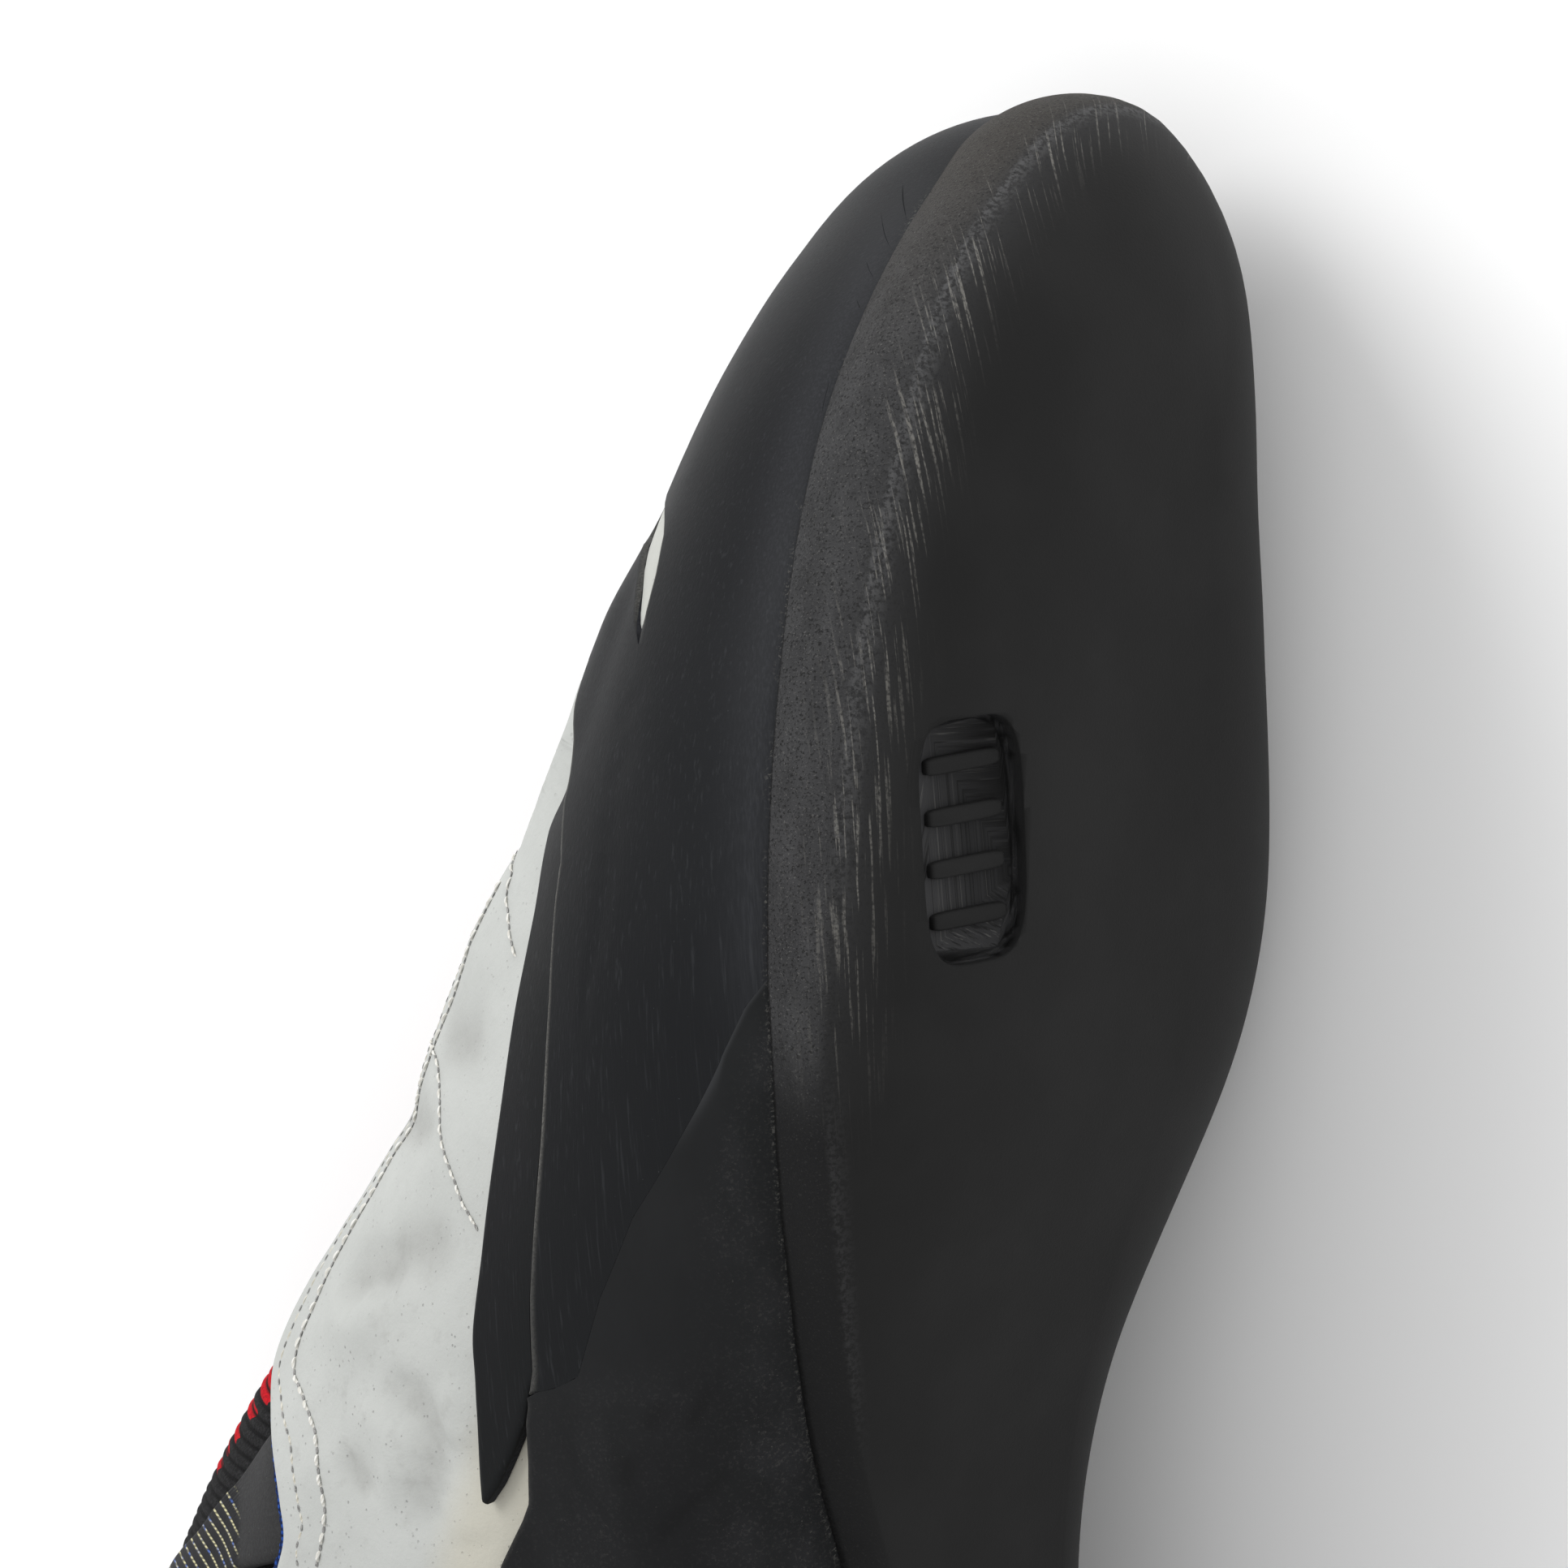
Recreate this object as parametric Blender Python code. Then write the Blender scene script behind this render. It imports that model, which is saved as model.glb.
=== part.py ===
"""One right climbing shoe as separate faceted solids, in metres, lying on its medial side, toe along +Y."""
import bpy
import bmesh
import numpy as np
from mathutils import Matrix, Vector

# named sizes
LENGTH = 0.250
BALL_WIDTH = 0.073
INSTEP_HEIGHT = 0.100
UPPER_WALL = 0.0016
RAND_WALL = 0.0015
STRIP_WALL = 0.0009
OUTSOLE_THICK = 0.0038
GAP = 0.0004
TONGUE_THICK = 0.0026
STRAP_THICK = 0.0018
STRAP_WIDE = 0.020
EDGE_LIP = 0.0009
TONGUE_DROP = 0.0013
TONGUE_FLAT = 0.0010
TONGUE_ARCH = 0.0042
STRAP_DROP = 0.0008
STRAP_RISE = 0.0010
POCKET_LONG = 0.0215
POCKET_WIDE = 0.0125
POCKET_DEEP = 0.0019
POCKET_OVERCUT = 0.003
POCKET_CENTRE = (0.826, -0.614)

# layers, counted outward from the foot form
RAND_IN = UPPER_WALL + GAP
RAND_OUT = RAND_IN + RAND_WALL
OUTSOLE_IN = RAND_OUT + GAP
OUTSOLE_OUT = OUTSOLE_IN + OUTSOLE_THICK
EDGE_OUT = OUTSOLE_IN + EDGE_LIP

# outline of the form at its widest: along by LENGTH, across by BALL_WIDTH, lateral side positive
OUTLINE = (
    (0.016, 0.055), (0.038, 0.270), (0.105, 0.415), (0.200, 0.455), (0.320, 0.465), (0.430, 0.495),
    (0.520, 0.545), (0.610, 0.595), (0.700, 0.610), (0.780, 0.580), (0.860, 0.472), (0.925, 0.282),
    (0.963, 0.062), (0.979, -0.090), (0.976, -0.205), (0.928, -0.270), (0.850, -0.292), (0.770, -0.320),
    (0.690, -0.350), (0.620, -0.325), (0.550, -0.250), (0.460, -0.170), (0.360, -0.165), (0.240, -0.230),
    (0.130, -0.270), (0.048, -0.170),
)
# camber, arch, widest line and ridge by INSTEP_HEIGHT, spine by BALL_WIDTH, then powers of the section
SECTION_NAMES = ("along", "camber", "arch", "wide", "ridge", "spine",
                 "under_lateral", "under_medial", "under_rise", "over_side", "over_rise")
SECTIONS = (
    (0.00, 0.04, 0.00, 0.24, 1.17, 0.05, 3.0, 3.0, 2.2, 2.3, 2.0),
    (0.12, 0.03, 0.00, 0.24, 1.21, 0.05, 3.0, 3.0, 2.2, 2.3, 2.0),
    (0.25, 0.12, 0.06, 0.26, 1.16, 0.05, 2.6, 2.2, 2.1, 2.2, 2.0),
    (0.36, 0.20, 0.11, 0.26, 1.01, 0.06, 2.4, 1.8, 2.0, 2.1, 1.9),
    (0.46, 0.215, 0.13, 0.21, 0.85, 0.07, 2.4, 1.7, 2.0, 2.1, 1.9),
    (0.56, 0.165, 0.10, 0.15, 0.72, 0.06, 2.8, 1.8, 2.0, 2.1, 1.9),
    (0.66, 0.07, 0.03, 0.12, 0.61, 0.02, 3.6, 2.2, 2.0, 2.1, 1.9),
    (0.76, 0.03, 0.01, 0.11, 0.48, -0.03, 4.0, 2.3, 2.0, 2.2, 1.9),
    (0.86, 0.01, 0.01, 0.11, 0.36, -0.06, 4.0, 2.3, 2.0, 2.3, 1.9),
    (0.94, 0.00, 0.01, 0.115, 0.30, -0.09, 4.0, 2.3, 2.0, 2.5, 2.0),
    (1.00, 0.02, 0.01, 0.12, 0.29, -0.12, 4.0, 2.3, 2.0, 2.8, 2.2),
)
HEEL_CENTRE = 0.12
TOE_CENTRE = 0.88
EASE = 0.045
BLEND = 0.012

# lines on the form: v from heel 0 to toe 1, then the level t on each side
TOPLINE = (
    (0.00, 0.38, 0.38), (0.12, 0.31, 0.31), (0.24, 0.22, 0.22), (0.34, 0.22, 0.22), (0.42, 0.29, 0.30),
    (0.47, 0.39, 0.42), (0.517, 0.455, 0.56), (0.54, 0.49, 0.60), (0.572, 0.60, 0.65), (0.592, 0.685, 0.67),
    (0.62, 0.72, 0.70), (0.70, 0.75, 0.74), (0.78, 0.74, 0.76), (0.82, 0.75, 0.78),
)
THROAT_V = 0.848
SOLE_EDGE = (
    (0.000, -0.36, -0.36), (0.250, -0.42, -0.46), (0.420, -0.55, -0.575), (0.500, -0.575, -0.575),
    (0.530, -0.570, -0.57), (0.577, -0.483, -0.52), (0.615, -0.413, -0.465), (0.652, -0.333, -0.395),
    (0.687, -0.253, -0.325), (0.718, -0.193, -0.264), (0.750, -0.153, -0.218), (0.782, -0.127, -0.173),
    (0.842, -0.107, -0.100), (0.890, -0.057, -0.050), (0.913, -0.015, -0.027), (0.945, 0.013, 0.00),
    (0.973, 0.045, 0.027), (1.000, 0.04, 0.04),
)
SOLE_CORNER = (
    (0.000, -0.48, -0.48), (0.250, -0.52, -0.56), (0.420, -0.62, -0.66), (0.500, -0.66, -0.66),
    (0.548, -0.60, -0.65), (0.582, -0.547, -0.62), (0.622, -0.487, -0.58), (0.658, -0.417, -0.53),
    (0.692, -0.353, -0.48), (0.723, -0.303, -0.44), (0.753, -0.277, -0.42), (0.830, -0.270, -0.375),
    (0.885, -0.288, -0.345), (0.933, -0.262, -0.325), (0.982, -0.280, -0.30), (1.000, -0.29, -0.29),
)
TOE_RAND_TOP = (
    (0.600, 0.137, 0.19), (0.640, 0.175, 0.23), (0.680, 0.222, 0.27), (0.740, 0.297, 0.33),
    (0.810, 0.375, 0.41), (0.838, 0.41, 0.44), (0.850, 0.45, 0.45), (0.866, 0.31, 0.45), (0.882, 0.347, 0.46),
    (0.900, 0.41, 0.47), (0.940, 0.45, 0.50), (1.000, 0.53, 0.53),
)
PATCH_LOW = (
    (0.8675, 0.33, 0.465), (0.880, 0.41, 0.475), (0.888, 0.475, 0.48), (0.900, 0.585, 0.49),
    (0.920, 0.62, 0.50), (0.950, 0.61, 0.525), (1.000, 0.56, 0.56),
)
PATCH_BACK = ((0.33, 0.8675), (0.55, 0.860), (1.00, 0.858))
HEEL_RAND_TOP = (
    (0.000, 0.20, 0.20), (0.150, 0.16, 0.16), (0.320, 0.10, 0.10), (0.450, 0.105, 0.13), (0.530, 0.12, 0.16),
    (0.558, 0.10, 0.15), (0.580, 0.123, 0.17), (0.600, 0.133, 0.19), (0.650, 0.087, 0.13),
    (0.682, 0.075, 0.095), (0.715, 0.04, 0.055), (0.748, -0.003, -0.015), (0.765, -0.06, -0.10),
    (0.778, -0.12, -0.20), (0.790, -0.24, -0.30), (0.805, -0.40, -0.42), (0.825, -0.60, -0.60),
)
STRIP_TOP = (
    (0.557, 0.165), (0.592, 0.20), (0.625, 0.25), (0.665, 0.29), (0.730, 0.37), (0.798, 0.457),
    (0.825, 0.50), (0.843, 0.585),
)
STRAP_CENTRE = ((-0.60, 0.535), (-0.43, 0.525), (-0.34, 0.462), (0.00, 0.455), (0.62, 0.505))
# stations along the shoe and levels up its side, shared by every layer so that they nest
STATIONS = (0.0, 0.025, 0.05, 0.075, 0.10, 0.13, 0.16, 0.23, 0.30, 0.37, 0.44, 0.50, 0.56, 0.60, 0.65, 0.70,
            0.75, 0.765, 0.78, 0.795, 0.81, 0.825, 0.838, 0.850, 0.866, 0.882, 0.905, 0.93, 0.955, 0.98, 1.0)
LEVELS = (-1.0, -0.86, -0.72, -0.60, -0.53, -0.46, -0.40, -0.34, -0.28, -0.22, -0.16, -0.10, -0.04, 0.03,
          0.11, 0.20, 0.30, 0.40, 0.50, 0.60, 0.70, 0.82, 1.0)
MARGIN_T = -0.60
SEAM_START = 0.60
SEAM_END = 0.825
SEAM_SHARE = 0.008
LEAST_SHARE = 0.012
HEEL_LEAST = 0.02

# pose of the shoe as it lies, and the depth pressed flat where it meets the floor
LIE_ROLL = 90.5
LIE_PITCH = 2.3
LIE_TURN = 0.0
PRESS = 0.0008


def spline(x, y, at):
    x, y = np.asarray(x, float), np.asarray(y, float)
    n = len(x)
    h = np.diff(x)
    a, b = np.zeros((n, n)), np.zeros(n)
    a[0, 0] = a[-1, -1] = 1
    for i in range(1, n - 1):
        a[i, i - 1:i + 2] = h[i - 1], 2 * (h[i - 1] + h[i]), h[i]
        b[i] = 6 * ((y[i + 1] - y[i]) / h[i] - (y[i] - y[i - 1]) / h[i - 1])
    m = np.linalg.solve(a, b)
    at = np.clip(at, x[0], x[-1])
    i = np.clip(np.searchsorted(x, at) - 1, 0, n - 2)
    left, right = x[i + 1] - at, at - x[i]
    curve = (m[i] * left ** 3 + m[i + 1] * right ** 3) / (6 * h[i])
    curve = curve + (y[i] / h[i] - m[i] * h[i] / 6) * left
    return curve + (y[i + 1] / h[i] - m[i + 1] * h[i] / 6) * right


def outline_sides():
    ring = np.array(OUTLINE * 3) * (LENGTH, BALL_WIDTH)
    step = np.r_[0, np.cumsum(np.linalg.norm(np.diff(ring, axis=0), axis=1))]
    n, m = len(OUTLINE), 4000
    at = np.linspace(step[n], step[2 * n], m, endpoint=False)
    y, x = spline(step, ring[:, 0], at), spline(step, ring[:, 1], at)
    heel, toe = int(np.argmin(y)), int(np.argmax(y))
    lateral = (heel + np.arange((toe - heel) % m + 1)) % m
    medial = (heel - np.arange((heel - toe) % m + 1)) % m
    return (y[lateral], x[lateral]), (y[medial], x[medial])


LATERAL, MEDIAL = outline_sides()
HEEL_Y, TOE_Y = LATERAL[0][0], LATERAL[0][-1]


def station(v):
    """Place along the shoe for v from 0 at the heel to 1 at the toe, eased into both ends."""
    span = TOE_Y - HEEL_Y
    heel, toe = 0.13 * span, 0.22 * span
    middle = HEEL_Y + heel + (v - 0.10) / 0.74 * (span - heel - toe)
    low = HEEL_Y + heel * (1 - np.cos(np.clip(v / 0.10, 0, 1) * np.pi / 2))
    high = TOE_Y - toe * (1 - np.cos(np.clip((1 - v) / 0.16, 0, 1) * np.pi / 2))
    return np.where(v < 0.10, low, np.where(v > 0.84, high, middle))


def spine_y(y):
    h, t, e = HEEL_CENTRE * LENGTH, TOE_CENTRE * LENGTH, EASE * LENGTH
    low = h + e * np.logaddexp(0, (y - h) / e)
    return t - e * np.logaddexp(0, (t - low) / e)


def section(name, y):
    table = np.array(SECTIONS)
    value = spline(table[:, 0], table[:, SECTION_NAMES.index(name)], y / LENGTH)
    if name in ("camber", "arch", "wide", "ridge"):
        return value * INSTEP_HEIGHT
    return value * BALL_WIDTH if name == "spine" else value


def surface(w, t):
    """Point of the form. w runs from the heel, 0 to 1 lateral, 1 to 2 medial; t is -1 under, 1 on top."""
    w, t = np.broadcast_arrays(np.asarray(w, float) % 2.0, np.asarray(t, float))
    lateral = w <= 1
    y = station(np.where(lateral, w, 2 - w))
    x = np.where(lateral, np.interp(y, *LATERAL), np.interp(y, *MEDIAL))
    by = spine_y(y)
    bx = section("spine", by)
    turn = np.clip(np.abs(t), 0, 1) * np.pi / 2
    over = t > 0
    inner = 0.5 - 0.5 * np.sin(np.clip((x - bx) / BLEND, -1, 1) * np.pi / 2)
    under = section("under_lateral", by) * (1 - inner) + section("under_medial", by) * inner
    side = np.where(over, section("over_side", by), under)
    rise = np.where(over, section("over_rise", by), section("under_rise", by))
    r = np.where(np.abs(t) >= 1, 0, np.clip(np.cos(turn), 0, 1) ** (2 / side))
    h = np.sin(turn) ** (2 / rise)
    wide = section("wide", y)
    z = np.where(over, wide + (section("ridge", by) - wide) * h, wide * (1 - h))
    z = z + inner * section("arch", by) * r ** 2
    px, py = bx + (x - bx) * r, by + (y - by) * r
    return np.stack([px, py, z + section("camber", py)], -1)


def normal(w, t):
    w, t = np.broadcast_arrays(np.asarray(w, float) % 2.0, np.asarray(t, float))
    e, tc = 1e-3, np.clip(t, -0.97, 0.97)
    n = np.cross(surface(w + e, tc) - surface(w - e, tc), surface(w, tc + e) - surface(w, tc - e))
    y = spine_y(station(np.where(w <= 1, w, 2 - w)))
    over = t > 0
    ends = [np.where(over, section("ridge", q), 0) + section("camber", q) for q in (y - 5e-4, y + 5e-4)]
    slope = (ends[1] - ends[0]) / 1e-3
    s = np.where(over, 1.0, -1.0)
    pole = np.stack([0 * y, -slope * s, s], -1)
    n = np.where((np.abs(t) > 0.999)[..., None], pole, n)
    return n / np.linalg.norm(n, axis=-1, keepdims=True)


def line(table, w):
    """Level of a named line at w, from a table of v, lateral, medial."""
    table = np.array(table)
    w = np.asarray(w, float) % 2.0
    lateral = np.interp(w, table[:, 0], table[:, 1])
    return np.where(w <= 1, lateral, np.interp(2 - w, table[:, 0], table[:, -1]))


def shell(name, w, t, inner, outer):
    """Closed solid between two offsets of the form over a grid of w and t; meeting points are one point."""
    w, t = np.broadcast_arrays(w, t)
    inner, outer = np.broadcast_to(inner, w.shape), np.broadcast_to(outer, w.shape)
    p, n = surface(w, t), normal(w, t)
    index, keys, faces = np.zeros(w.shape, int), {}, []
    low, high = [], []
    for i in range(w.shape[0]):
        for j in range(w.shape[1]):
            key = tuple(np.round(p[i, j], 6 if abs(t[i, j]) < 1 else 3))
            if key not in keys:
                keys[key] = len(low)
                low.append(p[i, j] + n[i, j] * inner[i, j])
                high.append(p[i, j] + n[i, j] * outer[i, j])
            index[i, j] = keys[key]
    edges = {}
    for i in range(w.shape[0] - 1):
        for j in range(w.shape[1] - 1):
            quad = [index[i, j], index[i + 1, j], index[i + 1, j + 1], index[i, j + 1]]
            quad = [q for k, q in enumerate(quad) if q != quad[k - 1]]
            if len(set(quad)) < 3:
                continue
            faces.append(quad)
            for a, b in zip(quad, quad[1:] + quad[:1]):
                edges[(a, b)] = edges.get((a, b), 0) + 1
    count = len(low)
    solid = [list(f) for f in faces] + [[q + count for q in reversed(f)] for f in faces]
    solid += [[b, a, a + count, b + count] for a, b in edges if (b, a) not in edges]
    mesh = bpy.data.meshes.new(name)
    mesh.from_pydata([tuple(q) for q in high + low], [], solid)
    return finish(name, mesh)


def finish(name, mesh):
    bm = bmesh.new()
    bm.from_mesh(mesh)
    bmesh.ops.recalc_face_normals(bm, faces=bm.faces)
    bm.to_mesh(mesh)
    bm.free()
    obj = bpy.data.objects.new(name, mesh)
    bpy.context.scene.collection.objects.link(obj)
    return obj


def cut(target, cutter):
    mod = target.modifiers.new("cut", "BOOLEAN")
    mod.operation, mod.solver, mod.object = "DIFFERENCE", "EXACT", cutter
    graph = bpy.context.evaluated_depsgraph_get()
    mesh = bpy.data.meshes.new_from_object(target.evaluated_get(graph))
    target.modifiers.clear()
    target.data = mesh
    bpy.data.objects.remove(cutter)


def around(low=0.0, high=1.0):
    """Values of w on both sides between two places along the shoe, through the heel or the toe."""
    v = np.unique([low, high] + [q for q in STATIONS if low < q < high])
    if high >= 1:
        return np.r_[v, 2 - v[-2:0:-1], 2 - v[0]]
    return np.r_[2 - v[::-1], v[1:]]


def rows(low, high):
    """Levels between two lines, one row for each station; the first and last row sit on the lines."""
    t = np.clip(np.array(LEVELS)[None, :], low[:, None], high[:, None])
    near = np.abs(t - high[:, None]) < 0.016
    t = np.where(near, high[:, None], t)
    return np.where(np.abs(t - low[:, None]) < 0.016, low[:, None], t)


def throat_share(w, t):
    """0 at the lateral throat edge, 1 at the medial one."""
    w, t = np.broadcast_arrays(w, t)
    edge_l, edge_m = line(TOPLINE, np.where(w <= 1, w, 2 - w)), line(TOPLINE, np.where(w <= 1, 2 - w, w))
    across = np.where(w <= 1, -(1 - t), 1 - t)
    return np.clip((across + 1 - edge_l) / (2 - edge_l - edge_m), 0, 1)


def build_upper():
    w = around()
    v = np.where(w <= 1, w, 2 - w)
    top = np.where(v > THROAT_V, 1.0, line(TOPLINE, w))
    top = np.where((v > 0.82) & (v <= THROAT_V), np.maximum(top, 0.84), top)
    t = rows(MARGIN_T + 0 * w, top)
    return shell("upper", w[:, None] + 0 * t, t, 0.0, UPPER_WALL)


def build_outsole():
    w = around()
    edge, corner = line(SOLE_EDGE, w)[:, None], line(SOLE_CORNER, w)[:, None]
    t = rows(-1 + 0 * w, edge[:, 0])
    for k in range(len(w)):
        t[k, np.argmin(np.abs(t[k] - corner[k]))] = corner[k, 0]
    share = np.clip((t - corner) / (edge - corner), 0, 1)
    outer = OUTSOLE_OUT + (EDGE_OUT - OUTSOLE_OUT) * share
    return shell("outsole", w[:, None] + 0 * t, t, OUTSOLE_IN, outer)


def build_toe_rand():
    w = around(SEAM_START + 0.01, 1.0)
    back = np.where(w <= 1, w - 0.0015, w + 0.0015)
    above = np.maximum(line(HEEL_RAND_TOP, back) + SEAM_SHARE, MARGIN_T)
    low = np.where(np.abs(w - 1) < 1 - SEAM_END, MARGIN_T, above)
    t = rows(low, np.maximum(line(TOE_RAND_TOP, w), low + LEAST_SHARE))
    return shell("toe_rand", w[:, None] + 0 * t, t, RAND_IN, RAND_OUT)


def build_toe_patch():
    w = around(0.8675, 1.0)
    t = rows(line(PATCH_LOW, w), 1 + 0 * w)
    back = np.interp(t, *np.array(PATCH_BACK).T) - 0.8675
    v = np.where(w <= 1, w, 2 - w)[:, None]
    v = v + back * np.clip((0.90 - v) / (0.90 - 0.8675), 0, 1)
    return shell("toe_patch", np.where(w[:, None] <= 1, v, 2 - v), t, RAND_IN, RAND_OUT)


def build_heel_rand():
    w = around(0.0, SEAM_END) % 2.0
    t = rows(MARGIN_T + 0 * w, np.maximum(line(HEEL_RAND_TOP, w), MARGIN_T + HEEL_LEAST))
    return shell("heel_rand", w[:, None] + 0 * t, t, RAND_IN, RAND_OUT)


def build_strip():
    w = np.unique([0.572, 0.59, 0.60, 0.64, 0.66, 0.70, 0.72, 0.76, 0.81, 0.838])
    low = line(TOE_RAND_TOP, w) + LEAST_SHARE
    table = np.array(STRIP_TOP)
    high = np.maximum(np.interp(w, table[:, 0], table[:, 1]), low + LEAST_SHARE)
    t = low[:, None] + (high - low)[:, None] * np.linspace(0, 1, 3)[None, :]
    return shell("side_strip", w[:, None] + 0 * t, t, RAND_IN, RAND_IN + STRIP_WALL)


def build_insole():
    w = around()
    t = rows(-1 + 0 * w, MARGIN_T - 0.014 + 0 * w)
    return shell("insole", w[:, None] + 0 * t, t, 0.0, RAND_OUT - GAP)


def across(v, lateral_t, medial_t, half):
    """Grid over the ridge, from the lateral level to the medial level."""
    s = np.linspace(-1, 1, 2 * half + 1)[None, :]
    v = v[:, None]
    reach = np.where(s < 0, 1 - lateral_t[:, None], 1 - medial_t[:, None])
    return np.where(s < 0, v, 2 - v) + 0 * s, 1 - np.abs(s) * reach


def build_tongue():
    v = np.linspace(0.40, 0.856, 16)
    low = np.maximum(line(TOPLINE, v) - 0.16, 0.34)
    w, t = across(v, low, low, 5)
    x = throat_share(w, t)
    arch = (TONGUE_FLAT, TONGUE_FLAT, TONGUE_ARCH, TONGUE_ARCH, TONGUE_FLAT)
    bulge = np.interp(v, (0.40, 0.56, 0.60, 0.80, 0.856), arch)[:, None]
    bulge = np.where(np.where(w <= 1, w, 2 - w) > 0.84, 0, bulge)
    outer = -STRAP_THICK - TONGUE_DROP + bulge * 4 * x * (1 - x)
    return shell("tongue", w, t, outer - TONGUE_THICK, outer)


def build_strap():
    side, reach = np.linspace(-0.5, 0.5, 6), STRAP_WIDE / LENGTH
    w, t = across(side * reach, np.full(6, 0.40), np.full(6, 0.38), 7)
    step = np.where(w > 1, 1 - t, t - 1)
    v = np.where(w > 1, 2 - w, w) + np.interp(step, *np.array(STRAP_CENTRE).T)
    w = np.where(w > 1, 2 - v, v)
    inner = -STRAP_THICK - STRAP_DROP + (STRAP_THICK + STRAP_RISE + RAND_IN) * throat_share(w, t)
    return shell("strap", w, t, inner, inner + STRAP_THICK)


def build_pocket(centre_w, centre_t):
    """Cutter for the plain recess under the ball: a rounded box square to the sole."""
    c, n = surface(centre_w, centre_t), normal(centre_w, centre_t)
    n = Vector(n)
    c = Vector(c) + n * OUTSOLE_OUT
    bm = bmesh.new()
    ring_pts = []
    for k in range(20):
        a = 2 * np.pi * k / 20
        x = np.sign(np.cos(a)) * abs(np.cos(a)) ** 0.5 * POCKET_WIDE / 2
        y = np.sign(np.sin(a)) * abs(np.sin(a)) ** 0.5 * POCKET_LONG / 2
        ring_pts.append((x, y))
    low = [bm.verts.new((x, y, -POCKET_DEEP)) for x, y in ring_pts]
    high = [bm.verts.new((x, y, POCKET_OVERCUT)) for x, y in ring_pts]
    bm.faces.new(low[::-1])
    bm.faces.new(high)
    for k in range(20):
        bm.faces.new((low[k], low[(k + 1) % 20], high[(k + 1) % 20], high[k]))
    side = Vector((0, 1, 0)).cross(n).normalized()
    frame = Matrix((side, n.cross(side), n)).transposed().to_4x4()
    bmesh.ops.transform(bm, matrix=Matrix.Translation(c) @ frame, verts=bm.verts)
    mesh = bpy.data.meshes.new("pocket")
    bm.to_mesh(mesh)
    bm.free()
    return finish("pocket", mesh)


def material(name, colour, roughness):
    mat = bpy.data.materials.new(name)
    mat.use_nodes = True
    shader = mat.node_tree.nodes["Principled BSDF"]
    shader.inputs["Base Color"].default_value = (*colour, 1.0)
    shader.inputs["Roughness"].default_value = roughness
    return mat


def lie_down(objects):
    turn = Matrix.Rotation(np.radians(LIE_TURN), 4, "Z") @ Matrix.Rotation(np.radians(LIE_PITCH), 4, "X")
    turn = turn @ Matrix.Rotation(np.radians(-LIE_ROLL), 4, "Y")
    for obj in objects:
        obj.data.transform(turn)
    low = min(v.co.z for obj in objects for v in obj.data.vertices) + PRESS
    xs = [v.co.x for obj in objects for v in obj.data.vertices]
    ys = [v.co.y for obj in objects for v in obj.data.vertices]
    move = Matrix.Translation((-(min(xs) + max(xs)) / 2, -(min(ys) + max(ys)) / 2, -low))
    for obj in objects:
        obj.data.transform(move)
        for v in obj.data.vertices:
            v.co.z = max(v.co.z, 0.0)
        obj.data.update()


def main():
    for obj in list(bpy.data.objects):
        bpy.data.objects.remove(obj, do_unlink=True)
    outsole = build_outsole()
    cut(outsole, build_pocket(*POCKET_CENTRE))
    toe_rand, patch = build_toe_rand(), build_toe_patch()
    heel_rand, strip = build_heel_rand(), build_strip()
    upper, insole, tongue, strap = build_upper(), build_insole(), build_tongue(), build_strap()
    looks = (
        (outsole, "outsole_rubber", (0.023, 0.023, 0.024), 0.62),
        (toe_rand, "toe_rand_rubber", (0.028, 0.030, 0.033), 0.5),
        (patch, "toe_patch_rubber", (0.028, 0.030, 0.033), 0.5),
        (heel_rand, "heel_rand_rubber", (0.026, 0.027, 0.029), 0.6),
        (strip, "side_strip_rubber", (0.030, 0.032, 0.035), 0.5),
        (upper, "upper_leather", (0.62, 0.63, 0.58), 0.7),
        (insole, "insole_board", (0.30, 0.26, 0.20), 0.85),
        (tongue, "tongue_knit", (0.03, 0.03, 0.035), 0.9),
        (strap, "strap_web", (0.035, 0.034, 0.034), 0.6),
    )
    for obj, name, colour, roughness in looks:
        obj.data.materials.clear()
        obj.data.materials.append(material(name, colour, roughness))
        for face in obj.data.polygons:
            face.use_smooth = True
    lie_down([row[0] for row in looks])


main()
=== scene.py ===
"""Looks of one right climbing shoe: ground rubber, rand, creased leather, stitches, knit and strap."""

import bpy
import bmesh
import numpy as np
from mathutils import Matrix, Vector


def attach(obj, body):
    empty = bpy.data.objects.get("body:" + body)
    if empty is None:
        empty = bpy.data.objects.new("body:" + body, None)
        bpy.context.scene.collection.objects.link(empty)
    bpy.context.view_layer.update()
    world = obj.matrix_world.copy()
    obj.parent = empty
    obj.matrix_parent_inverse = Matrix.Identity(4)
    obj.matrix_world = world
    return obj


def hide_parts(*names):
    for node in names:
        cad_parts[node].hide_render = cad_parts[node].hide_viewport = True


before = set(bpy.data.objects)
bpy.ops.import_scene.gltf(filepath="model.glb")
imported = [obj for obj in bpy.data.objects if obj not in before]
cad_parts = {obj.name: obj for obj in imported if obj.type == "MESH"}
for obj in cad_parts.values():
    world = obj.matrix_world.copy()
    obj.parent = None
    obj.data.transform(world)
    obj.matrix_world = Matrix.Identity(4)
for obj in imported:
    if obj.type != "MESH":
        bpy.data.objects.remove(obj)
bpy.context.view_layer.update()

# named sizes, in metres, as in the solids
LENGTH = 0.250
BALL_WIDTH = 0.073
INSTEP_HEIGHT = 0.100
UPPER_WALL = 0.0016
RAND_WALL = 0.0015
STRIP_WALL = 0.0009
OUTSOLE_THICK = 0.0038
GAP = 0.0004
TONGUE_THICK = 0.0026
STRAP_THICK = 0.0018
POCKET_LONG = 0.0215
POCKET_WIDE = 0.0125
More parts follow.
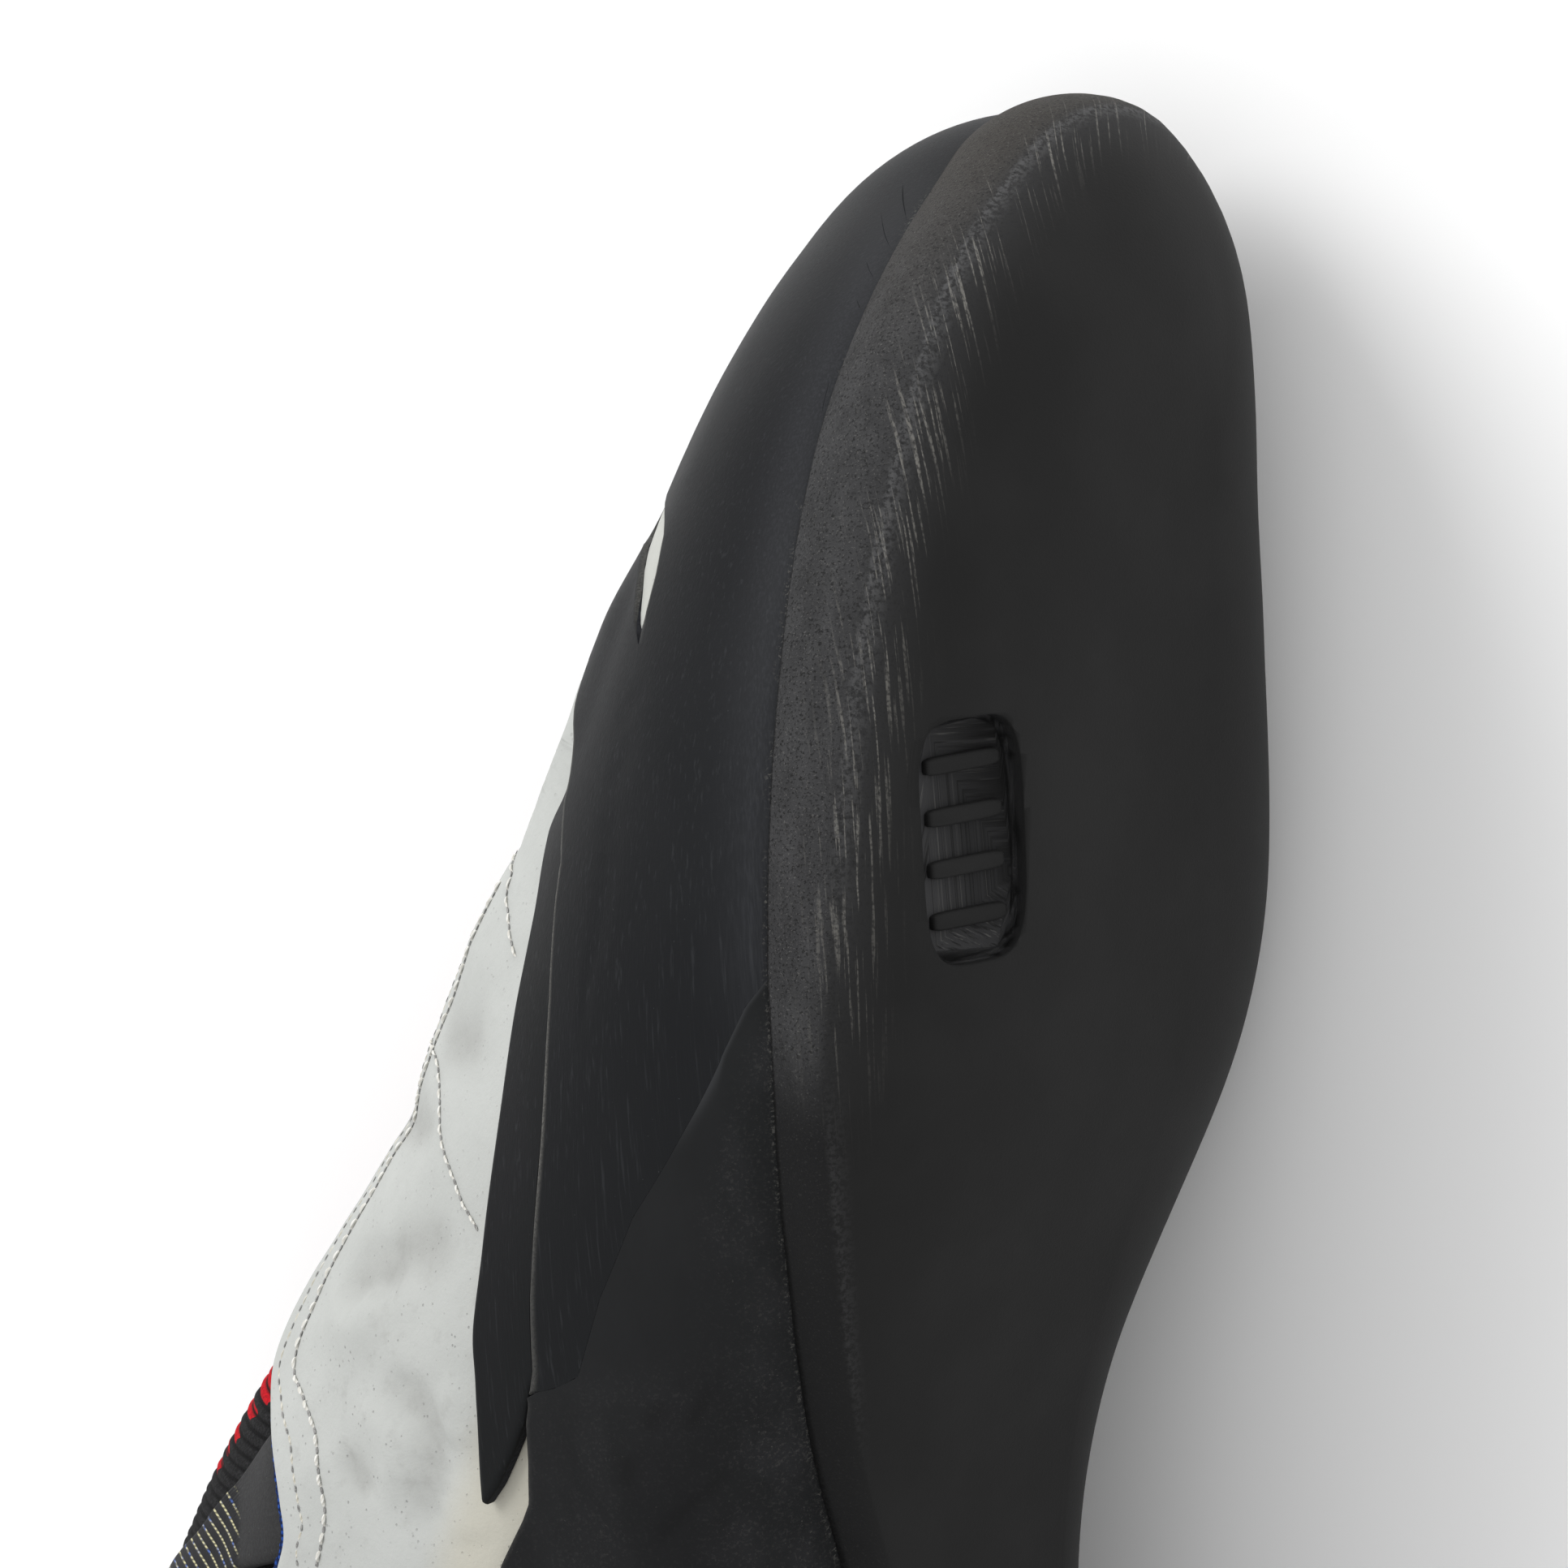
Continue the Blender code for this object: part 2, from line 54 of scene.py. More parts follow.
POCKET_DEEP = 0.0019
LINING_WALL = 0.0006

RAND_IN = UPPER_WALL + GAP
RAND_OUT = RAND_IN + RAND_WALL
OUTSOLE_IN = RAND_OUT + GAP
OUTSOLE_OUT = OUTSOLE_IN + OUTSOLE_THICK
EDGE_OUT = RAND_OUT + 0.00035

# outline of the form at its widest: along by LENGTH, across by BALL_WIDTH, lateral side positive
OUTLINE = (
    (0.016, 0.055), (0.038, 0.27), (0.105, 0.415), (0.2, 0.455), (0.32, 0.465), (0.43, 0.495),
    (0.52, 0.545), (0.61, 0.595), (0.7, 0.61), (0.78, 0.58), (0.86, 0.472), (0.925, 0.282),
    (0.963, 0.062), (0.979, -0.09), (0.976, -0.205), (0.928, -0.27), (0.85, -0.292), (0.77, -0.32),
    (0.69, -0.35), (0.62, -0.325), (0.55, -0.25), (0.46, -0.17), (0.36, -0.165), (0.24, -0.23),
    (0.13, -0.27), (0.048, -0.17),
)
# camber, arch, widest line and ridge by INSTEP_HEIGHT, spine by BALL_WIDTH, then powers of the section
SECTION_NAMES = ("along", "camber", "arch", "wide", "ridge", "spine",
                 "under_lateral", "under_medial", "under_rise", "over_side", "over_rise")
SECTIONS = (
    (0.00, 0.04, 0.00, 0.24, 1.17, 0.05, 3.0, 3.0, 2.2, 2.3, 2.0),
    (0.12, 0.03, 0.00, 0.24, 1.21, 0.05, 3.0, 3.0, 2.2, 2.3, 2.0),
    (0.25, 0.12, 0.06, 0.26, 1.16, 0.05, 2.6, 2.2, 2.1, 2.2, 2.0),
    (0.36, 0.20, 0.11, 0.26, 1.01, 0.06, 2.4, 1.8, 2.0, 2.1, 1.9),
    (0.46, 0.215, 0.13, 0.21, 0.85, 0.07, 2.4, 1.7, 2.0, 2.1, 1.9),
    (0.56, 0.165, 0.10, 0.15, 0.72, 0.06, 2.8, 1.8, 2.0, 2.1, 1.9),
    (0.66, 0.07, 0.03, 0.12, 0.61, 0.02, 3.6, 2.2, 2.0, 2.1, 1.9),
    (0.76, 0.03, 0.01, 0.11, 0.48, -0.03, 4.0, 2.3, 2.0, 2.2, 1.9),
    (0.86, 0.01, 0.01, 0.11, 0.36, -0.06, 4.0, 2.3, 2.0, 2.3, 1.9),
    (0.94, 0.00, 0.01, 0.115, 0.30, -0.09, 4.0, 2.3, 2.0, 2.5, 2.0),
    (1.00, 0.02, 0.01, 0.12, 0.29, -0.12, 4.0, 2.3, 2.0, 2.8, 2.2),
)
HEEL_CENTRE = 0.12
TOE_CENTRE = 0.88
EASE = 0.045
BLEND = 0.012

# place along the form where the toe rand's fin ends and the toe patch starts
FIN_V = 0.8665
# lines on the form: v from heel 0 to toe 1, then the level t on the lateral and the medial side
TOPLINE = (
    (0.0, 0.38, 0.38), (0.12, 0.31, 0.31), (0.24, 0.22, 0.22), (0.34, 0.22, 0.22), (0.42, 0.28, 0.3),
    (0.47, 0.375, 0.42), (0.5, 0.448, 0.5), (0.515, 0.458, 0.54), (0.5275, 0.456, 0.58),
    (0.536, 0.479, 0.6), (0.55, 0.516, 0.63), (0.561, 0.551, 0.64), (0.574, 0.593, 0.66),
    (0.5865, 0.646, 0.67), (0.6, 0.695, 0.68), (0.62, 0.725, 0.7), (0.7, 0.75, 0.74), (0.76, 0.73, 0.76),
    (0.8, 0.71, 0.77),
)
THROAT_TURN = 0.80
THROAT_V = 0.848
SOLE_EDGE = (
    (0.0, -0.36, -0.36), (0.25, -0.42, -0.46), (0.42, -0.55, -0.58), (0.52, -0.585, -0.58),
    (0.541, -0.551, -0.57), (0.5725, -0.495, -0.53), (0.611, -0.422, -0.47), (0.6475, -0.342, -0.4),
    (0.682, -0.26, -0.34), (0.7145, -0.196, -0.27), (0.7465, -0.154, -0.22), (0.7785, -0.121, -0.18),
    (0.81, -0.107, -0.14), (0.8405, -0.099, -0.1), (0.8655, -0.079, -0.08), (0.889, -0.046, -0.05),
    (0.9015, -0.024, -0.04), (0.9235, -0.014, -0.02), (0.9455, 0.002, 0.0), (0.973, 0.012, -0.01),
    (1.0, -0.02, -0.02),
)
SOLE_CORNER = (
    (0.0, -0.48, -0.48), (0.25, -0.52, -0.56), (0.42, -0.62, -0.66), (0.525, -0.633, -0.66),
    (0.547, -0.6, -0.65), (0.58, -0.547, -0.62), (0.618, -0.487, -0.58), (0.655, -0.417, -0.53),
    (0.688, -0.353, -0.48), (0.72, -0.303, -0.44), (0.75, -0.277, -0.42), (0.83, -0.27, -0.375),
    (0.885, -0.29, -0.345), (0.93, -0.28, -0.325), (0.952, -0.3, -0.31), (1.0, -0.32, -0.32),
)
TOE_RAND_TOP = (
    (0.6, 0.142, 0.19), (0.612, 0.15, 0.2), (0.642, 0.188, 0.23), (0.675, 0.225, 0.26),
    (0.7075, 0.26, 0.29), (0.7635, 0.323, 0.34), (0.801, 0.373, 0.38), (0.817, 0.39, 0.4),
    (0.8435, 0.45, 0.43), (0.85, 0.487, 0.44), (0.855, 0.535, 0.445), (0.8605, 0.568, 0.45),
    (0.8665, 0.575, 0.45), (0.86651, 0.32, 0.45), (0.872, 0.34, 0.455), (0.879, 0.353, 0.46),
    (0.8865, 0.39, 0.465), (0.89, 0.45, 0.468), (0.895, 0.56, 0.47), (0.912, 0.62, 0.48),
    (0.94, 0.62, 0.5), (0.97, 0.6, 0.55), (1.0, 0.58, 0.58),
)
PATCH_LOW = (
    (0.8665, 0.323, 0.465), (0.87, 0.365, 0.47), (0.8735, 0.398, 0.475), (0.877, 0.428, 0.478),
    (0.881, 0.478, 0.48), (0.884, 0.535, 0.482), (0.889, 0.61, 0.485), (0.9, 0.662, 0.49),
    (0.94, 0.665, 0.52), (1.0, 0.62, 0.62),
)
PATCH_BACK = ((0.30, 0.8665), (0.570, 0.8665), (0.577, 0.8625), (0.70, 0.859), (1.00, 0.858))
HEEL_RAND_TOP = (
    (0.0, 0.2, 0.2), (0.15, 0.16, 0.16), (0.32, 0.11, 0.11), (0.45, 0.118, 0.13), (0.528, 0.118, 0.15),
    (0.5485, 0.105, 0.15), (0.556, 0.103, 0.15), (0.574, 0.118, 0.165), (0.5905, 0.135, 0.17),
    (0.6025, 0.141, 0.17), (0.6065, 0.105, 0.17), (0.6115, 0.084, 0.165), (0.6445, 0.088, 0.13),
    (0.6785, 0.078, 0.095), (0.7125, 0.04, 0.055), (0.7455, -0.002, -0.01), (0.765, -0.06, -0.1),
    (0.778, -0.13, -0.2), (0.79, -0.24, -0.3), (0.805, -0.4, -0.42), (0.825, -0.6, -0.6),
)
STRIP_TOP = (
    (0.5535, 0.158), (0.555, 0.163), (0.566, 0.175), (0.5825, 0.193), (0.5985, 0.213), (0.611, 0.233),
    (0.6235, 0.253), (0.6375, 0.268), (0.6535, 0.285), (0.672, 0.308), (0.711, 0.355), (0.758, 0.412),
    (0.7995, 0.455), (0.8335, 0.522), (0.8425, 0.552), (0.8475, 0.56), (0.8565, 0.567), (0.8615, 0.574),
)
STRIP_LOW = (
    (0.5535, 0.157), (0.5615, 0.148), (0.572, 0.143), (0.581, 0.140), (0.592, 0.138), (0.603, 0.144),
)
# how far the leather swells out over the form on the lateral side, in metres, and the level where it is full
SWELL = (
    (0.5, 0.0), (0.56, 0.0006), (0.6, 0.001), (0.65, 0.0012), (0.68, 0.0011), (0.7, 0.0014),
    (0.74, 0.0028), (0.77, 0.0033), (0.785, 0.003), (0.8, 0.0026), (0.812, 0.0022), (0.83, 0.0023),
    (0.845, 0.0026), (0.858, 0.0028), (0.863, 0.0017), (0.8665, 0.001), (0.895, 0.001), (0.925, 0.0),
)
SWELL_FULL = (
    (0.6, 0.7), (0.7, 0.7), (0.74, 0.68), (0.77, 0.655), (0.8, 0.635), (0.8285, 0.615), (0.8445, 0.61),
    (0.862, 0.6),
)
FIN_LIFT = 0.0008
MARGIN_T = -0.60
SEAM_END = 0.825

# pose of the shoe as it lies: metres and degrees, the same as in the solids
LIE_MOVE = (0.05433089, -0.12560698, 0.02142181)
LIE_ROLL = 90.5
LIE_PITCH = 2.3
POSE = (Matrix.Translation(LIE_MOVE) @ Matrix.Rotation(np.radians(LIE_PITCH), 4, "X")
        @ Matrix.Rotation(np.radians(-LIE_ROLL), 4, "Y"))

# the camera in the shoe's own frame, in metres and degrees
CAMERA_TURN = 59.0
CAMERA_RISE = 6.0
CAMERA_ROLL = 5.0
CAMERA_AWAY = 1.100
CAMERA_TARGET = (-0.018, 0.1845, 0.025)
CAMERA_AIM = (-0.02104, 0.00252)
CAMERA_LENS = 276.7


def spline(x, y, at):
    x, y = np.asarray(x, float), np.asarray(y, float)
    n = len(x)
    h = np.diff(x)
    a, b = np.zeros((n, n)), np.zeros(n)
    a[0, 0] = a[-1, -1] = 1
    for i in range(1, n - 1):
        a[i, i - 1:i + 2] = h[i - 1], 2 * (h[i - 1] + h[i]), h[i]
        b[i] = 6 * ((y[i + 1] - y[i]) / h[i] - (y[i] - y[i - 1]) / h[i - 1])
    m = np.linalg.solve(a, b)
    at = np.clip(at, x[0], x[-1])
    i = np.clip(np.searchsorted(x, at) - 1, 0, n - 2)
    left, right = x[i + 1] - at, at - x[i]
    curve = (m[i] * left ** 3 + m[i + 1] * right ** 3) / (6 * h[i])
    curve = curve + (y[i] / h[i] - m[i] * h[i] / 6) * left
    return curve + (y[i + 1] / h[i] - m[i + 1] * h[i] / 6) * right


def outline_sides():
    ring = np.array(OUTLINE * 3) * (LENGTH, BALL_WIDTH)
    step = np.r_[0, np.cumsum(np.linalg.norm(np.diff(ring, axis=0), axis=1))]
    n, m = len(OUTLINE), 4000
    at = np.linspace(step[n], step[2 * n], m, endpoint=False)
    y, x = spline(step, ring[:, 0], at), spline(step, ring[:, 1], at)
    heel, toe = int(np.argmin(y)), int(np.argmax(y))
    lateral = (heel + np.arange((toe - heel) % m + 1)) % m
    medial = (heel - np.arange((heel - toe) % m + 1)) % m
    return (y[lateral], x[lateral]), (y[medial], x[medial])


LATERAL, MEDIAL = outline_sides()
HEEL_Y, TOE_Y = LATERAL[0][0], LATERAL[0][-1]


def station(v):
    """Place along the shoe for v from 0 at the heel to 1 at the toe, eased into both ends."""
    span = TOE_Y - HEEL_Y
    heel, toe = 0.13 * span, 0.22 * span
    middle = HEEL_Y + heel + (v - 0.10) / 0.74 * (span - heel - toe)
    low = HEEL_Y + heel * (1 - np.cos(np.clip(v / 0.10, 0, 1) * np.pi / 2))
    high = TOE_Y - toe * (1 - np.cos(np.clip((1 - v) / 0.16, 0, 1) * np.pi / 2))
    return np.where(v < 0.10, low, np.where(v > 0.84, high, middle))


def spine_y(y):
    h, t, e = HEEL_CENTRE * LENGTH, TOE_CENTRE * LENGTH, EASE * LENGTH
    low = h + e * np.logaddexp(0, (y - h) / e)
    return t - e * np.logaddexp(0, (t - low) / e)


def section(name, y):
    table = np.array(SECTIONS)
    value = spline(table[:, 0], table[:, SECTION_NAMES.index(name)], y / LENGTH)
    if name in ("camber", "arch", "wide", "ridge"):
        return value * INSTEP_HEIGHT
    return value * BALL_WIDTH if name == "spine" else value


def surface(w, t):
    """Point of the form. w runs round it, 0 to 1 lateral and 1 to 2 medial; t is -1 under and 1 on top."""
    w, t = np.broadcast_arrays(np.asarray(w, float) % 2.0, np.asarray(t, float))
    lateral = w <= 1
    y = station(np.where(lateral, w, 2 - w))
    x = np.where(lateral, np.interp(y, *LATERAL), np.interp(y, *MEDIAL))
    by = spine_y(y)
    bx = section("spine", by)
    turn = np.clip(np.abs(t), 0, 1) * np.pi / 2
    over = t > 0
    inner = 0.5 - 0.5 * np.sin(np.clip((x - bx) / BLEND, -1, 1) * np.pi / 2)
    under = section("under_lateral", by) * (1 - inner) + section("under_medial", by) * inner
    side = np.where(over, section("over_side", by), under)
    rise = np.where(over, section("over_rise", by), section("under_rise", by))
    r = np.where(np.abs(t) >= 1, 0, np.clip(np.cos(turn), 0, 1) ** (2 / side))
    h = np.sin(turn) ** (2 / rise)
    wide = section("wide", y)
    z = np.where(over, wide + (section("ridge", by) - wide) * h, wide * (1 - h))
    z = z + inner * section("arch", by) * r ** 2
    px, py = bx + (x - bx) * r, by + (y - by) * r
    return np.stack([px, py, z + section("camber", py)], -1)


def normal(w, t):
    w, t = np.broadcast_arrays(np.asarray(w, float) % 2.0, np.asarray(t, float))
    e, tc = 1e-3, np.clip(t, -0.97, 0.97)
    n = np.cross(surface(w + e, tc) - surface(w - e, tc), surface(w, tc + e) - surface(w, tc - e))
    y = spine_y(station(np.where(w <= 1, w, 2 - w)))
    over = t > 0
    ends = [np.where(over, section("ridge", q), 0) + section("camber", q) for q in (y - 5e-4, y + 5e-4)]
    slope = (ends[1] - ends[0]) / 1e-3
    s = np.where(over, 1.0, -1.0)
    pole = np.stack([0 * y, -slope * s, s], -1)
    n = np.where((np.abs(t) > 0.999)[..., None], pole, n)
    return n / np.linalg.norm(n, axis=-1, keepdims=True)


def line(table, w):
    """Level of a named line at w, from a table of v, lateral, medial."""
    table = np.array(table)
    w = np.asarray(w, float) % 2.0
    lateral = np.interp(w, table[:, 0], table[:, 1])
    return np.where(w <= 1, lateral, np.interp(2 - w, table[:, 0], table[:, -1]))


def soft_line(table, w, reach):
    """The same level with its corners eased over a reach to either side."""
    steps = np.linspace(-reach, reach, 9)
    weight = np.cos(steps / reach * np.pi / 2.2)
    return sum(k * line(table, w + s) for k, s in zip(weight, steps)) / weight.sum()


def v_of(w):
    w = np.asarray(w, float) % 2.0
    return np.where(w <= 1, w, 2 - w)


def throat_edge(w):
    """Level of the leather's edge: the topline, closing in a round end before the toe."""
    v = v_of(w)
    edge = soft_line(TOPLINE, w, 0.010)
    turn = line(TOPLINE, np.where(np.asarray(w) % 2.0 <= 1, THROAT_TURN, 2 - THROAT_TURN))
    share = np.clip((v - THROAT_TURN) / (THROAT_V - THROAT_TURN), 0, 1)
    ended = 1 - (1 - turn) * np.sqrt(1 - share ** 2)
    return np.where(v < THROAT_TURN, edge, ended)


def throat_share(w, t):
    """0 at the lateral throat edge, 1 at the medial one."""
    w, t = np.broadcast_arrays(w, t)
    edge_l, edge_m = line(TOPLINE, np.where(w <= 1, w, 2 - w)), line(TOPLINE, np.where(w <= 1, 2 - w, w))
    across = np.where(w <= 1, -(1 - t), 1 - t)
    return np.clip((across + 1 - edge_l) / (2 - edge_l - edge_m), 0, 1)


def smooth(x, low, high):
    """0 below low, 1 above high, eased between."""
    s = np.clip((x - low) / (high - low), 0, 1)
    return s * s * (3 - 2 * s)


def named(table, v):
    return np.interp(v, *np.array(table).T)


def bulge(w, t):
    """Lift of the leather where it stands off the form beside the throat."""
    w, t = np.broadcast_arrays(np.asarray(w, float) % 2.0, t)
    v = v_of(w)
    low = np.maximum(named(STRIP_TOP, v) - 0.005, 0.30) - 0.02 * smooth(v, 0.84, 0.856)
    low = np.where(v > FIN_V, line(TOE_RAND_TOP, v) - 0.014, low)
    full = np.where(v > FIN_V, low + 0.028, np.maximum(named(SWELL_FULL, v), low + 0.03))
    lateral = named(SWELL, v) * smooth(t, low, full)
    medial = 0.0022 * smooth(v, 0.50, 0.60) * (1 - smooth(v, 0.74, 0.85)) * smooth(t, 0.30, 0.72)
    return np.where(w <= 1, lateral, medial) * (1 - smooth(t, 0.80, 0.97))


def fin_lift(w, t):
    """Lift of the rubber where it folds up over the leather behind the toe patch, lateral side."""
    w, t = np.broadcast_arrays(np.asarray(w, float) % 2.0, t)
    along = smooth(w, 0.843, 0.853) * (1 - smooth(w, 0.868, 0.892))
    lean = 0.0003 * smooth(w, 0.868, 0.886) * (1 - smooth(w, 0.925, 0.955)) * smooth(t, 0.34, 0.50)
    return (FIN_LIFT * along * smooth(t, 0.42, 0.54) - lean) * (1 - smooth(t, 0.80, 0.97))


def waves(p, scale, seed, count=9):
    """Soft unevenness from -1 to 1 with features of about one scale, from summed waves."""
    rng = np.random.default_rng(seed)
    total = 0
    for _ in range(count):
        way = rng.normal(size=3)
        way *= rng.uniform(0.6, 1.6) * 2 * np.pi / (scale * 2 * np.linalg.norm(way))
        total = total + np.sin(p @ way + rng.uniform(0, 6.28))
    return total / count ** 0.5 / 1.4


def trace(p, path):
    """Distance of points p from a path of (w, t) on the form, and the share of its length there."""
    path = np.array(path, float)
    at = np.arange(len(path))
    fine = np.linspace(0, len(path) - 1, 6 * len(path))
    route = surface(spline(at, path[:, 0], fine), spline(at, path[:, 1], fine))
    step = np.linalg.norm(np.diff(route, axis=0), axis=1)
    place = np.r_[0, np.cumsum(step)] / step.sum()
    best, share = np.full(p.shape[:-1], 1e9), np.zeros(p.shape[:-1])
    for a, b, sa, sb in zip(route[:-1], route[1:], place[:-1], place[1:]):
        ab = b - a
        s = np.clip(((p - a) @ ab) / max(ab @ ab, 1e-12), 0, 1)
        d = np.linalg.norm(p - a - s[..., None] * ab, axis=-1)
        near = d < best
        best = np.where(near, d, best)
        share = np.where(near, sa + (sb - sa) * s, share)
    return best, share


def furrow(p, path, width, fade=0.3):
    """1 along a path, falling softly to 0 at its sides and ends."""
    d, s = trace(p, path)
    return np.exp(-(d / width) ** 2) * smooth(s, 0, fade) * smooth(1 - s, 0, fade)


# meshes
def make(name, points, faces, materials, face_material=None, fields=None, sharp=45):
    """Mesh from points in the shoe's frame: stores that place in millimetres, then lays it in its pose."""
    points = np.asarray(points, float)
    mesh = bpy.data.meshes.new(name)
    world = points @ np.array(POSE.to_3x3()).T + np.array(POSE.translation)
    world[:, 2] = np.maximum(world[:, 2], 0)
    mesh.from_pydata(world.tolist(), [], faces)
    place = mesh.attributes.new("form_mm", "FLOAT_VECTOR", "POINT")
    place.data.foreach_set("vector", (points * 1000).astype(np.float32).ravel())
    for key, value in (fields or {}).items():
        attribute = mesh.attributes.new(key, "FLOAT", "POINT")
        attribute.data.foreach_set("value", np.asarray(value, np.float32).ravel())
    for mat in materials:
        mesh.materials.append(mat)
    if face_material is not None:
        mesh.polygons.foreach_set("material_index", np.asarray(face_material, np.int32))
    bm = bmesh.new()
    bm.from_mesh(mesh)
    bmesh.ops.recalc_face_normals(bm, faces=bm.faces)
    bm.to_mesh(mesh)
    bm.free()
    mesh.shade_smooth()
    mesh.set_sharp_from_angle(angle=np.radians(sharp))
    obj = bpy.data.objects.new(name, mesh)
    bpy.context.scene.collection.objects.link(obj)
    return obj


def shell(name, w, t, inner, outer, materials, fields=None, sharp=45, drop=None):
    """Closed sheet between two offsets of the form. Materials: outside, cut edge, inside."""
    w, t = np.broadcast_arrays(w, t)
    inner, outer = np.broadcast_to(inner, w.shape), np.broadcast_to(outer, w.shape)
    p, n = surface(w, t), normal(w, t)
    key = np.round(p.reshape(-1, 3) * 1e6).astype(np.int64)
    _, first, index = np.unique(key, axis=0, return_index=True, return_inverse=True)
    index = index.reshape(w.shape)
    low = (p + n * inner[..., None]).reshape(-1, 3)[first]
    high = (p + n * outer[..., None]).reshape(-1, 3)[first]
    count = len(first)
    quads = np.stack([index[:-1, :-1], index[1:, :-1], index[1:, 1:], index[:-1, 1:]], -1).reshape(-1, 4)
    faces = []
    kept = np.ones(len(quads), bool) if drop is None else ~drop.reshape(-1)
    for quad in quads[kept].tolist():
        ring = [q for k, q in enumerate(quad) if q != quad[k - 1]]
        if len(set(ring)) >= 3 and len(set(ring)) == len(ring):
            faces.append(ring)
    a = np.array([q for f in faces for q in f])
    b = np.array([q for f in faces for q in f[1:] + f[:1]])
    open_edge = ~np.isin(a * count + b, b * count + a)
    rim = [[y, x, x + count, y + count] for x, y in zip(a[open_edge].tolist(), b[open_edge].tolist())]
    solid = faces + [[q + count for q in reversed(f)] for f in faces] + rim
    last = len(materials) - 1
    slots = [0] * len(faces) + [min(2, last)] * len(faces) + [min(1, last)] * len(rim)
    both = {}
    for key_name, value in (fields or {}).items():
        value = np.broadcast_to(value, w.shape).reshape(-1)[first]
        both[key_name] = np.r_[value, value]
    return make(name, np.r_[high, low], solid, materials, slots, both, sharp)


# close columns where the rand folds up behind the toe patch
FINE_V = np.r_[0.798 + 0.050 * np.sin(np.linspace(0, np.pi / 2, 22)), 0.8495, 0.8520, 0.8535, 0.8550,
               0.8565, 0.8580, 0.8595, 0.8610, 0.8625, 0.8640, 0.8655, FIN_V, FIN_V + 0.00001, 0.8690, 0.8720,
               0.8745]


def columns(low, high, front=0.45, fine=0.0024, coarse=0.0062):
    """Values of w through the heel or toe: fine on the lateral forefoot, coarser elsewhere."""
    near = np.arange(max(low, front), high, fine)
    far = np.arange(low, front, coarse) if low < front else np.array([])
    lateral = np.unique(np.r_[far, near, high, [q for q in FINE_V if low < q < high]])
    back = np.arange(low, high, coarse)
    medial = np.unique(np.r_[back, high, [q for q in FINE_V if low < q < high]])
    if high >= 1:
        return np.r_[lateral, (2 - medial[::-1])[1:]]
    return np.r_[2 - medial[::-1], lateral[1:]]


EDGE_STEPS = np.array((0, 0.0018, 0.0036, 0.006, 0.009, 0.013, 0.018, 0.025))


def levels(low, high, count, fine_low=False, fine_high=True):
    """Rows from low to high, with close rows next to an edge that shows."""
    low, high = low[:, None], high[:, None]
    room = np.maximum(high - low, 1e-6)
    scale = np.minimum(1, room / 0.08)
    start = EDGE_STEPS * scale if fine_low else np.zeros(1) * scale
    end = EDGE_STEPS[::-1] * scale if fine_high else np.zeros(1) * scale
    a, b = low + start[:, -1:], high - end[:, :1]
    middle = a + (b - a) * np.linspace(0, 1, count)[None, 1:-1]
    return np.concatenate([low + start, middle, high - end], axis=1)


def edge_round(inside, size, drop):
    """How far the outside falls back near an edge to look rounded; inside is the distance from it."""
    x = np.clip(1 - inside / size, 0, 1)
    return drop * (1 - np.sqrt(1 - x ** 2 * 0.999))


def route_on(path, lift, pitch=0.0004):
    """Points, outward normals and length along a path of (w, t), lifted by a function of both."""
    path = np.array(path, float)
    at = np.arange(len(path))
    fine = np.linspace(0, len(path) - 1, 14 * len(path))
    w, t = (spline(at, path[:, k], fine) for k in (0, 1))
    length = np.r_[0, np.cumsum(np.linalg.norm(np.diff(surface(w, t), axis=0), axis=1))]
    even = np.linspace(0, length[-1], max(3, int(length[-1] / pitch)))
    w, t = np.interp(even, length, w), np.interp(even, length, t)
    n = normal(w, t)
    return surface(w, t) + n * np.asarray(lift(w, t))[..., None], n, even


def ring_faces(rings, sides):
    """Faces of a closed strip of rings, with both ends capped."""
    faces = []
    for r in range(0, (rings - 1) * sides, sides):
        for k in range(sides):
            after = (k + 1) % sides
            faces.append([r + k, r + after, r + sides + after, r + sides + k])
    return faces + [list(range(sides))[::-1], [(rings - 1) * sides + k for k in range(sides)]]


def tube(points, normals, half_width, half_height, sides=6):
    """Points and faces of a closed strip with an oval section that follows a route."""
    tangent = np.gradient(points, axis=0)
    tangent /= np.linalg.norm(tangent, axis=1, keepdims=True)
    side = np.cross(normals, tangent)
    side /= np.linalg.norm(side, axis=1, keepdims=True)
    up = np.cross(tangent, side)
    turn = np.arange(sides) * 2 * np.pi / sides
    wide, high = (np.broadcast_to(q, len(points))[:, None, None] for q in (half_width, half_height))
    ring = points[:, None] + side[:, None] * (np.cos(turn)[None, :, None] * wide)
    ring = ring + up[:, None] * (np.sin(turn)[None, :, None] * high)
    return ring.reshape(-1, 3), ring_faces(len(points), sides)


def join(parts):
    points, faces, count = [], [], 0
    for p, f in parts:
        points.append(p)
        faces += [[q + count for q in g] for g in f]
        count += len(p)
    return np.concatenate(points), faces


def strands(name, paths, lift, half_width, half_height, paint, taper=0.0):
    """Thin strips laid on the form along several paths, joined in one mesh."""
    parts = []
    for path in paths:
        p, n, s = route_on(path, lift)
        size = np.ones(len(p))
        if taper:
            size = 0.15 + 0.85 * smooth(s, 0, taper * s[-1]) * smooth(s[-1] - s, 0, taper * s[-1])
        parts.append(tube(p, n, half_width * size, half_height * size))
    return make(name, *join(parts), (paint,), sharp=70)


def read_at(at, s, *tracks):
    """Each track of points, given at lengths s, read at other lengths."""
    return [np.stack([np.interp(at, s, track[:, i]) for i in range(3)], -1) for track in tracks]


